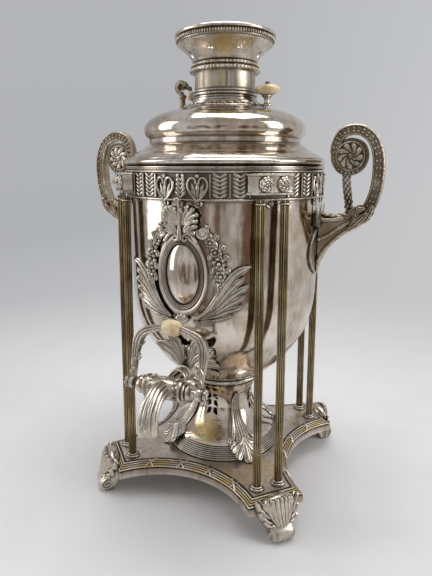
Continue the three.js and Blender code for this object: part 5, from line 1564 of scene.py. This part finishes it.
def handle_work():
    """The right-hand handle: arm, knot, chased band, rosette disc and scaly stem."""
    half = bpy.context.scene.samovar_sizes.handle_band / 2
    scroll = flow([(150, 322), (158.6, 331), (165.2, 347), (167.6, 367), (166, 388), (158.8, 403.6),
                   (146, 411.4), (131.8, 409.4), (124.6, 399), (123.6, 385), (129, 374),
                   (139, 370.4), (149.4, 375), (153.6, 386), (149.6, 396.8), (139, 401),
                   (130.4, 398)], 6)
    thin = tapering(1.38, 0.8, len(scroll))
    band = swept("handle_band", [(x, 0, z) for x, z in scroll], band_section(half, 5.2), sizes=thin)
    # The band's sunk faces between its rims are darkened: painted shade.
    parts = [marked(band, lambda point: 0.4 if 3 < abs(point.y) < 4.6 else 0)]
    for i in range(4, 72, 2):
        before, after = Vector(scroll[i - 1]), Vector(scroll[i + 1])
        x, z = scroll[i]
        across = (after - before).normalized() * 1.5 * thin[i]
        for face in (-1, 1):
            for shift in (-1, 1):
                parts.append(ball("band_bud", (x - shift * across.y, face * 4.4 * thin[i],
                                               z + shift * across.x), (1.3, 0.9, 1.3), 8, 6))
    for face in (-1, 1):
        for petal in range(9):
            path = []
            for step in range(7):
                angle = math.radians(petal * 40 + 7 * step)
                reach = 3.4 + 1.45 * step
                path.append((DISC_X + reach * math.cos(angle), face * 4.6,
                             DISC_Z + reach * math.sin(angle)))
            parts.append(swept("rosette_petal", path, ellipse(2.1, 1.5, 8),
                               sizes=[0.5, 0.7, 0.9, 1.1, 1.3, 1.4, 0.7]))
        parts.append(ball("rosette_eye", (DISC_X, face * 4.9, DISC_Z), (3, 1.9, 3)))
        ring = [(14 + x, face * 4.2 + h) for x, h in ellipse(0.9, 1.2, 8)]
        parts.append(turned("rosette_ring", ring, (DISC_X, 0, DISC_Z), (0, 1, 0), 48, closed=True))
    disc = [(0, -4.2), (14, -4.2), (14.4, -3.6), (14.4, 3.6), (14, 4.2), (0, 4.2)]
    # The disc behind the rosette's petals is dark: painted shade.
    parts.append(marked(turned("volute_disc", disc, (DISC_X, 0, DISC_Z), (0, 1, 0), 48),
                        lambda point: 0.75))
    stem = flow([(135.8, 371), (137.2, 356), (139.8, 340), (142.6, 312)], 5)
    core = swept("handle_stem", [(x, 0, z) for x, z in stem], ellipse(2.8, 2.8, 12))
    # The stem's core under its scales is dark: painted shade between the scales.
    parts.append(marked(core, lambda point: 0.8))
    for i, (x, z) in enumerate(stem):
        for turn in range(0, 360, 72):
            angle = math.radians(turn + i * 36)
            parts.append(ball("stem_scale", (x + 3 * math.cos(angle), 3 * math.sin(angle), z),
                              (1.7, 1.7, 2.4), 8, 6))
    outline = flow([(111.1, 263.5), (112.6, 271), (116, 280), (122, 291), (131, 303), (142, 312.4),
                    (153, 318), (158.6, 323.4), (156, 330), (147.6, 332), (138, 327.6),
                    (127, 323.6), (118.6, 323.4), (112.6, 325.4), (111.1, 330)], 4) + [(111.1, 300)]
    rows = ((-4.6, 0.8), (-4.5, 0.9), (-4, 0.985), (-3.4, 1), (3.4, 1), (4, 0.985), (4.5, 0.9),
            (4.6, 0.8))
    arm = loft("handle_arm", [[(111 + (x - 111) * (0.3 + 0.7 * k),
                                y * (1 + max(0, 140 - x) * 0.012), 316 + (z - 316) * k)
                               for x, z in outline] for y, k in rows])
    # The arm's faces between its ridges are darkened: painted shade.
    parts.append(marked(arm, lambda point: 0.3 if abs(point.y) > 4.2 else 0))
    ridges = ([(111.6, 321), (124, 321), (138, 324), (150, 328.6)],
              [(111.6, 300), (122, 305), (136, 315.6), (151, 323)],
              [(112, 275), (118, 288), (128, 300), (141, 310.4), (154, 318)])
    for side in (-1, 1):
        for points in ridges:
            path = [(x, side * (5.2 + max(0, 140 - x) * 0.07), z) for x, z in flow(points, 5)]
            parts.append(swept("arm_ridge", path, ellipse(2.2, 2.2, 10)))
        for spine, width in (([(140, 311), (149, 318), (160, 330)], 11),
                             ([(137, 324), (147, 331), (158, 334)], 9),
                             ([(150, 317), (158, 324), (165, 338)], 10),
                             ([(143, 316), (148, 324), (150, 336)], 9)):
            knot = leaf("knot_leaf", spine, [(0, 3), (0.5, width), (0.85, width * 0.7), (1, 1.5)],
                        lobes=3, base=0.6, cup=2.2, flute=1.2, curl=2)
            knot.data.transform(moved(0, -5.8, 0))
            if side > 0:
                knot.data.transform(MIRROR_Y)
                knot.data.flip_normals()
            parts.append(knot)
    for x, z in ((134, 326.6), (127, 325), (120, 325), (114, 326)):
        for y in (-4.6, 0, 4.6):
            parts.append(ball("arm_feather", (x + abs(y), y, z), (4.4, 2.4, 1.8), 8, 6))
    for side in (-1, 1):
        path = flow([(112.6, side * 8, 314), (112.4, side * 8.4, 325), (113.6, side * 8, 338)], 5)
        parts.append(swept("thorn", path, ellipse(1.9, 4.6, 10),
                           sizes=[1.2 - 0.1 * i for i in range(11)]))
    return joined("handle", parts)


class SAMOVAR_OT_handles(bpy.types.Operator):
    """Two scroll handles"""
    bl_idname = "samovar.handles"
    bl_label = "Handles"

    def execute(self, context):
        set_out(handle_work(), "handle", {"right": 0, "left": 180}, handle_brass())
        return {'FINISHED'}


class SAMOVAR_OT_handle_plates(bpy.types.Operator):
    """Domed plates in a raised rim, between the handles and the urn"""
    bl_idname = "samovar.handle_plates"
    bl_label = "Handle plates"

    def execute(self, context):
        outline = []
        for step in range(64):
            angle = TURN * step / 64
            outline.append((25 * math.cos(angle) * abs(math.cos(angle)) ** 0.3,
                            26 * math.sin(angle)))
        rows = ((1, 0.4), (1, 2), (0.97, 2.8), (0.91, 2.8), (0.88, 2.1), (0.84, 2), (0.4, 2.6),
                (0.1, 2.7))
        plate = loft("handle_plate", [[(x * k, -depth, 287 + z * k) for x, z in outline]
                                      for k, depth in rows])
        # The channel inside the raised rim is darkened: painted shade.
        marked(plate, lambda point: 0.6 if -2.3 < point.y < -1.9 and abs(point.x) > 1 else 0)
        set_out(plate, "handle_plate", {"right": 90, "left": 270}, handle_brass(), urn_radius)
        return {'FINISHED'}


# ---- Lid, knob, vent and stand

SEAT_Z = 437.7  # where the knob and the vent stand on the lid
KNOB_PLACE, KNOB_TURN = 51.5, -9
VENT_X = -52


class SAMOVAR_OT_lid(bpy.types.Operator):
    """Lid with brim, band, rounded dome and stepped seat"""
    bl_idname = "samovar.lid"
    bl_label = "Lid"

    def execute(self, context):
        outer = [(104.4, 370.8), (105.6, 370.8), (105.6, 377.8), (111, 377.9)]
        outer += arc((110.9, 380.4), 2.2, -80, 100, 8) + [(110, 383), (109.6, 383.8)]
        outer += flow([(109.4, 384.2), (103.5, 387.8), (98, 390.4), (93, 393.6), (87.4, 397.6)], 3)
        outer += [(85.2, 398.4), (84, 399.6), (84, 404.2), (84.6, 404.8)]
        outer += flow([(85.2, 405.2), (88.2, 408.4), (89.4, 413), (88.4, 418), (84.6, 423),
                       (78.6, 427.2), (70, 431), (58, 434.4), (47, 436.6)], 4)
        outer += [(46.4, 437.8), (44, 439.2), (40.6, 439.8), (38.4, 440.6), (38.2, 442.6),
                  (36.6, 443.4)]
        outer += [(36.2, 445.6), (34.6, 446.6), (34.4, 448.3)]
        inner = [(27.2, 448.3), (27.2, 436.4), (47, 434.9), (58, 432.6), (70, 429.2), (77.6, 425.8),
                 (83.2, 422), (86.6, 417.6), (87.4, 413), (86.4, 409), (83, 405.4), (82.2, 404.4),
                 (82.2, 398.6), (92, 391.6), (102.6, 385.8), (104.4, 384)]
        shell = turned("lid_spun", outer + inner, steps=160, closed=True)
        trim = []
        for step in range(36):
            trim.append(ball("trim_bead", (43.6, 0, 439.2), (2, 2.9, 1.3), 8, 6))
            trim[-1].data.transform(rotated(step * 10))
        lid = joined("lid", [shell] + trim)
        finished(lid, "lid_spun", sheet_silver(), "lid", ["lid"])
        return {'FINISHED'}


class SAMOVAR_OT_knob(bpy.types.Operator):
    """Ivory knob on its stem, with its nut"""
    bl_idname = "samovar.knob"
    bl_label = "Lid knob"

    def execute(self, context):
        radius = context.scene.samovar_sizes.knob_radius
        turn = math.radians(KNOB_TURN)
        base = (KNOB_PLACE * math.cos(turn), KNOB_PLACE * math.sin(turn), SEAT_Z)
        stem = [(0, 0), (4.8, 0), (4.7, 0.8)] + flow([(3.8, 1.6), (2.9, 4.2), (3.2, 6.8),
                                                      (5.6, 9.2)], 3)
        stem += [(6.1, 9.8), (6, 10.2), (0, 10.2)]
        piece = turned("knob_stem_turned", stem, base, steps=48)
        finished(piece, "knob_stem_turned", cast_silver(), "lid", ["knob_stem"])
        disc = [(0, 10.8), (6.4, 10.8), (9, 11.4)]
        disc += flow([(radius * 0.84, 12.6), (radius * 0.98, 14.6), (radius, 16.2),
                      (radius * 0.93, 17.8), (radius * 0.72, 19.6), (radius * 0.4, 20.8)], 4)
        disc += [(2, 21.1), (0, 21.1)]
        grip = turned("knob_grip_turned", disc, base, steps=64)
        finished(grip, "knob_grip_turned", ivory(), "lid", ["knob_grip"])
        nut = [(0, 21.5), (2.5, 21.5), (2.6, 22.2), (2.1, 23.2), (1, 23.5), (0, 23.5)]
        cap = turned("knob_nut_turned", nut, base, steps=24)
        finished(cap, "knob_nut_turned", dark_brass(), "lid", ["knob_nut"])
        return {'FINISHED'}


class SAMOVAR_OT_vent(bpy.types.Operator):
    """Steam vent: post, scroll key and ivory bead"""
    bl_idname = "samovar.vent"
    bl_label = "Steam vent"

    def execute(self, context):
        base = (VENT_X, 0, SEAT_Z)
        post = [(0, 0), (4.2, 0), (4.2, 3.2), (3.2, 4.4), (3, 12), (4, 13.8), (4.2, 15.4),
                (3.8, 16.7), (0, 16.7)]
        piece = turned("vent_post_turned", post, base, steps=40)
        finished(piece, "vent_post_turned", dark_brass(), "lid", ["vent_post"])
        coil = []
        for step in range(40):
            angle = math.radians(-90 - step * 7.2)
            reach = 7.2 - 3 * step / 39
            coil.append((VENT_X + reach * math.cos(angle), 0, 462.9 + reach * math.sin(angle)))
        coil += [(-46, 0, 463.4), (-42.6, 0, 462), (-42, 0, 458.4)]
        band = [(-2.4, -4), (1.8, -4), (1.8, -2.6), (0.8, -1.6), (0.8, 1.6), (1.8, 2.6), (1.8, 4),
                (-2.4, 4)]
        strap = swept("vent_coil", coil, band, sizes=[1] * 40 + [0.8, 0.7, 0.6])
        strap = joined("vent_scroll", [strap] + volute("vent_eye", (-51.4, 0, 463), 4, 1.3, 1.5,
                                                       200, -1))
        finished(strap, "vent_scroll_forged", dark_brass(), "vent_key", ["vent_scroll"])
        radius = context.scene.samovar_sizes.bead_radius
        bead = turned("vent_bead_turned", [(0, -radius)] + arc((0, 0), radius, -80, 80, 14)
                      + [(0, radius)], (-42, 0, 452.4), steps=40)
        finished(bead, "vent_bead_turned", ivory(), "vent_key", ["vent_bead"])
        return {'FINISHED'}


def brushed(point, lines=19):
    """Uneven upright lines round the neck, left by years of wiping."""
    if not 455.5 < point.z < 472:
        return 0
    turn = math.atan2(point.y, point.x)
    return 0.2 + 0.6 * max(0,
                           math.sin(lines * turn
                                    + 2 * math.sin(5 * turn)) * math.cos(3 * turn)) ** 2


class SAMOVAR_OT_teapot_stand(bpy.types.Operator):
    """Stand for the teapot: ring, neck, double ring, pierced cup and rim"""
    bl_idname = "samovar.teapot_stand"
    bl_label = "Teapot stand"

    def execute(self, context):
        outer = [(34.4, 448.8)] + arc((34.8, 450.4), 1.5, -80, 80, 6) + arc((34.9, 453.2), 1.2, -70,
                                                                            80, 6)
        outer += [(33, 455), (32.9, 456), (32.8, 471.8), (33.6, 472.8)]
        outer += arc((35.8, 475), 2.2, -80, 80, 7) + [(35.4, 477.6)] + arc((34.6, 479.8), 1.9, -60,
                                                                           80, 6)
        outer += flow([(34.4, 482), (36.4, 486.6), (40, 491.6), (45, 496.2), (50.6, 500)], 5)
        outer += [(51.4, 500.8), (51, 501.6), (51.4, 502.4), (51.4, 507.2), (53.2, 507.6)]
        outer += [(53.9, 508.2), (53.9, 509.8), (53, 510.8), (50.8, 510.9)]
        inner = [(49.4, 509), (49.4, 502), (44, 497.6), (38.8, 492.4), (35, 487), (32.8, 482),
                 (31.4, 478), (31.2, 456), (26.8, 453), (26.8, 448.8)]
        cup = turned("teapot_stand_turned", outer + inner, steps=128, closed=True)
        hearts = []
        for turn in range(0, 360, 45):
            outline = flow([(0, 486), (-2.6, 489.4), (-2.8, 492), (-1.3, 493), (0, 491.6),
                            (1.3, 493), (2.8, 492), (2.6, 489.4), (0, 486)], 3)[:-1]
            heart = loft("heart_cutter", [[(x, y, z) for x, z in outline] for y in (-30, -56)])
            heart.data.transform(rotated(turn))
            hearts.append(heart)
        cutter = outward(joined("heart_cutters", hearts))
        modified(cup, 'BOOLEAN', operation='DIFFERENCE', object=cutter, solver='EXACT')
        bpy.data.objects.remove(cutter)
        softened(cup)
        marked(cup, brushed)
        marked(cup, lambda point: 0.5 * brushed(point, 7), "bare")
        marked(cup, patches((10, -32, 464, 9), (-20, -26, 466, 6), (26, -20, 462, 6),
                            (16, -41, 494, 15)), "bare")
        finished(cup, "teapot_stand_turned", cast_silver(), "teapot_stand", ["teapot_stand"])
        beads = []
        for radius, z, height, count in ((52.1, 504.8, 2, 120), (37.2, 475, 2, 60),
                                         (35.8, 479.8, 1.7, 60)):
            for step in range(count):
                bead = ball("ring_bead", (radius, 0, 0), (1.2, 0.9 * math.pi * radius / count,
                                                          height), 8, 6)
                bead.data.transform(moved(0, 0, z) @ rotated(step * 360 / count))
                beads.append(bead)
        finished(joined("crown_beads", beads), "crown_beads_chased", handle_brass(), "teapot_stand")
        return {'FINISHED'}


# ---- Studio

CAMERA_PLACE, CAMERA_TURN = (0.2107, -0.4816, 0.3755), (75.70, 0, 23.16)  # metres, degrees
CAMERA_LENS, CAMERA_SENSOR = 29.73, 36
AIM_HEIGHT = 0.26  # metres; the lamps look at the urn's middle
SWEEP_LEFT, SWEEP_FRONT, SWEEP_BACK, SWEEP_BEND = -4000, -620, 2200, 1200
ROOM_DIRECTION = (0.36, -0.933, 0)  # the way to the dark room that the metal mirrors
# Name, place, width and height in metres, watts
LAMPS = (("left_box", (-1.25, -0.55, 0.7), 0.6, 1.3, 7),
         ("right_box", (1.35, 0.1, 0.8), 0.55, 1.2, 8),
         ("top_box", (0.0, 0.2, 1.8), 1.3, 1.0, 18))


class SAMOVAR_OT_stage(bpy.types.Operator):
    """Pale floor and sweep, soft lamps and the camera"""
    bl_idname = "samovar.stage"
    bl_label = "Studio"

    def execute(self, context):
        studio = context.scene.samovar_studio
        line = [(SWEEP_LEFT, SWEEP_FRONT, 0), (SWEEP_LEFT, SWEEP_BACK, 0)]
        line += [(SWEEP_LEFT, SWEEP_BACK + x, SWEEP_BEND + z)
                 for x, z in arc((0, 0), SWEEP_BEND, -90, 0, 16)]
        line += [(SWEEP_LEFT, SWEEP_BACK + SWEEP_BEND, 5000)]
        sweep = wire("studio_floor", line)
        with editing(sweep):
            bpy.ops.mesh.extrude_region_move(TRANSFORM_OT_translate={"value": (8, 0, 0)})
        sweep.data.transform(rotated(22))
        softened(sweep, 60)
        sweep.data.materials.append(floor_paint(studio))
        self.light(context, studio)
        self.camera(context)
        return {'FINISHED'}

    def light(self, context, studio):
        world = bpy.data.worlds.new("studio_world")
        context.scene.world = world
        world.use_nodes = True
        tree = world.node_tree
        tree.nodes.clear()
        direction = node(tree, 'TexCoord', output='Generated')
        # A dark brown room stands before the samovar; all else that metal mirrors is pale.
        facing = node(tree, 'VectorMath', {0: direction, 1: ROOM_DIRECTION}, 'Value',
                      operation='DOT_PRODUCT')
        facing = node(tree, 'MapRange', {0: facing, 1: 0.3, 2: 0.8})
        height = node(tree, 'SeparateXYZ', {'Vector': direction}, 'Z')
        level = node(tree, 'Math', {0: height, 1: 0.2}, operation='ADD')
        level = node(tree, 'Math', {0: level}, operation='ABSOLUTE')
        level = node(tree, 'MapRange', {0: level, 1: 0.16, 2: 0.4, 3: 1.0, 4: 0.0})
        dark = node(tree, 'Math', {0: facing, 1: level}, operation='MULTIPLY')
        upright = node(tree, 'Mapping', {'Vector': direction, 'Scale': (1, 1, 0.2)})
        bays = node(tree, 'TexNoise', {'Vector': upright, 'Scale': 5.5, 'Detail': 2})
        bays = node(tree, 'MapRange', {0: bays, 1: 0.42, 2: 0.58, 3: 0.15, 4: 0.95})
        dark = node(tree, 'Math', {0: dark, 1: bays}, operation='MULTIPLY')
        high = node(tree, 'MapRange', {0: height, 1: 0.1, 2: 0.7})
        mirrored = node(tree, 'Mix', {0: high, 6: studio.wall, 7: studio.ceiling}, 2,
                        data_type='RGBA')
        mirrored = node(tree, 'Mix', {0: dark, 6: mirrored, 7: studio.room}, 2, data_type='RGBA')
        glossy = node(tree, 'LightPath', output='Is Glossy Ray')
        colour = node(tree, 'Mix', {0: glossy, 6: studio.haze, 7: mirrored}, 2, data_type='RGBA')
        seen = node(tree, 'LightPath', output='Is Camera Ray')
        through = node(tree, 'LightPath', output='Is Transmission Ray')
        seen = node(tree, 'Math', {0: seen, 1: through}, operation='MAXIMUM')
        colour = node(tree, 'Mix', {0: seen, 6: colour, 7: studio.wall}, 2, data_type='RGBA')
        back = node(tree, 'Background', {'Color': colour})
        node(tree, 'OutputWorld', {'Surface': back})
        for name, place, width, height, power in LAMPS:
            deselect()
            bpy.ops.object.light_add(type='AREA', location=place)
            lamp = bpy.context.object
            lamp.name = name
            lamp.data.shape = 'RECTANGLE'
            lamp.data.size, lamp.data.size_y = width, height
            lamp.data.energy = power * studio.lamp
            aim = Vector((0, AXIS.y, AIM_HEIGHT)) - Vector(place)
            lamp.rotation_euler = aim.to_track_quat('-Z', 'Y').to_euler()

    def camera(self, context):
        bpy.ops.object.camera_add(location=CAMERA_PLACE,
                                  rotation=[math.radians(turn) for turn in CAMERA_TURN])
        camera = bpy.context.object
        camera.data.lens = CAMERA_LENS
        camera.data.sensor_width = CAMERA_SENSOR
        camera.data.clip_start = 0.01
        context.scene.camera = camera
        context.scene.view_settings.view_transform = 'Standard'


def floor_paint(studio):
    """Matt paint on the studio's floor and sweep, which also glows as painted light, plain and pale
    to the camera and to mirrors.
    """
    material, tree, shader = fresh_material("studio_paint")
    if tree is None:
        return material
    place = node(tree, 'TexCoord', output='Object')
    grain = node(tree, 'TexNoise', {'Vector': place, 'Scale': 1 / (60 * MM), 'Detail': 3})
    grain = node(tree, 'MapRange', {0: grain, 1: 0.3, 2: 0.7, 3: 0.0, 4: 0.1})
    paint = node(tree, 'Mix', {0: grain, 6: studio.floor, 7: studio.wall_low}, 2, data_type='RGBA')
    tree.links.new(paint, shader.inputs['Base Color'])
    shader.inputs['Roughness'].default_value = 0.7
    shader.inputs['Specular IOR Level'].default_value = 0.2
    # Away from the object the paint glows with painted light: a pale grey, a little lighter to the
    # right.
    across = node(tree, 'SeparateXYZ', {'Vector': place}, 'X')
    across = node(tree, 'MapRange', {0: across, 1: -1.6, 2: 1.6})
    height = node(tree, 'SeparateXYZ', {'Vector': place}, 'Z')
    height = node(tree, 'MapRange', {0: height, 1: 0.0, 2: 1.6})
    low = node(tree, 'Mix', {0: across, 6: studio.wall_low, 7: studio.wall_right}, 2,
               data_type='RGBA')
    high = node(tree, 'Mix', {0: across, 6: studio.wall_high, 7: studio.wall}, 2, data_type='RGBA')
    pale = node(tree, 'Mix', {0: height, 6: low, 7: high}, 2, data_type='RGBA')
    glow = node(tree, 'Emission', {'Color': pale})
    length = node(tree, 'VectorMath', {0: place}, 'Value', operation='LENGTH')
    share = node(tree, 'MapRange', {0: length, 1: 0.3, 2: 1.0})
    seen = node(tree, 'LightPath', output='Is Camera Ray')
    mirrored = node(tree, 'LightPath', output='Is Glossy Ray')
    seen = node(tree, 'Math', {0: seen, 1: mirrored}, operation='MAXIMUM')
    share = node(tree, 'Math', {0: seen, 1: share}, operation='MULTIPLY')
    blend = node(tree, 'MixShader', {0: share, 1: shader.outputs['BSDF'], 2: glow})
    output = next(made for made in tree.nodes if made.type == 'OUTPUT_MATERIAL')
    tree.links.new(blend, output.inputs['Surface'])
    return material


# ---- Panel, registration and the build

PIECES = (
    SAMOVAR_OT_base_plate, SAMOVAR_OT_feet, SAMOVAR_OT_foot_ring, SAMOVAR_OT_pedestal,
    SAMOVAR_OT_pedestal_legs, SAMOVAR_OT_collar, SAMOVAR_OT_columns, SAMOVAR_OT_corner_blocks,
    SAMOVAR_OT_urn, SAMOVAR_OT_fire_tube, SAMOVAR_OT_frieze, SAMOVAR_OT_cartouche,
    SAMOVAR_OT_garland, SAMOVAR_OT_palms, SAMOVAR_OT_escutcheon, SAMOVAR_OT_tap_body,
    SAMOVAR_OT_tap_key, SAMOVAR_OT_stirrup, SAMOVAR_OT_handles, SAMOVAR_OT_handle_plates,
    SAMOVAR_OT_lid, SAMOVAR_OT_knob, SAMOVAR_OT_vent, SAMOVAR_OT_teapot_stand, SAMOVAR_OT_stage,
)


class SAMOVAR_PT_panel(bpy.types.Panel):
    """Lists the samovar's settings and its pieces"""
    bl_idname = "SAMOVAR_PT_panel"
    bl_label = "Samovar"
    bl_space_type = 'VIEW_3D'
    bl_region_type = 'UI'
    bl_category = "Samovar"

    def draw(self, context):
        for group in (context.scene.samovar_sizes, context.scene.samovar_finish,
                      context.scene.samovar_studio):
            box = self.layout.box()
            for key in group.__annotations__:
                box.prop(group, key)
        for piece in PIECES:
            self.layout.operator(piece.bl_idname)


CLASSES = (SamovarFinish, SamovarSizes, SamovarStudio, *PIECES, SAMOVAR_PT_panel)


def register():
    for item in CLASSES:
        bpy.utils.register_class(item)
    bpy.types.Scene.samovar_finish = bpy.props.PointerProperty(type=SamovarFinish)
    bpy.types.Scene.samovar_sizes = bpy.props.PointerProperty(type=SamovarSizes)
    bpy.types.Scene.samovar_studio = bpy.props.PointerProperty(type=SamovarStudio)


def unregister():
    del bpy.types.Scene.samovar_studio
    del bpy.types.Scene.samovar_sizes
    del bpy.types.Scene.samovar_finish
    for item in reversed(CLASSES):
        bpy.utils.unregister_class(item)


def main():
    register()
    for piece in PIECES:
        group, action = piece.bl_idname.split(".")
        getattr(getattr(bpy.ops, group), action)()


if __name__ == "__main__":
    main()
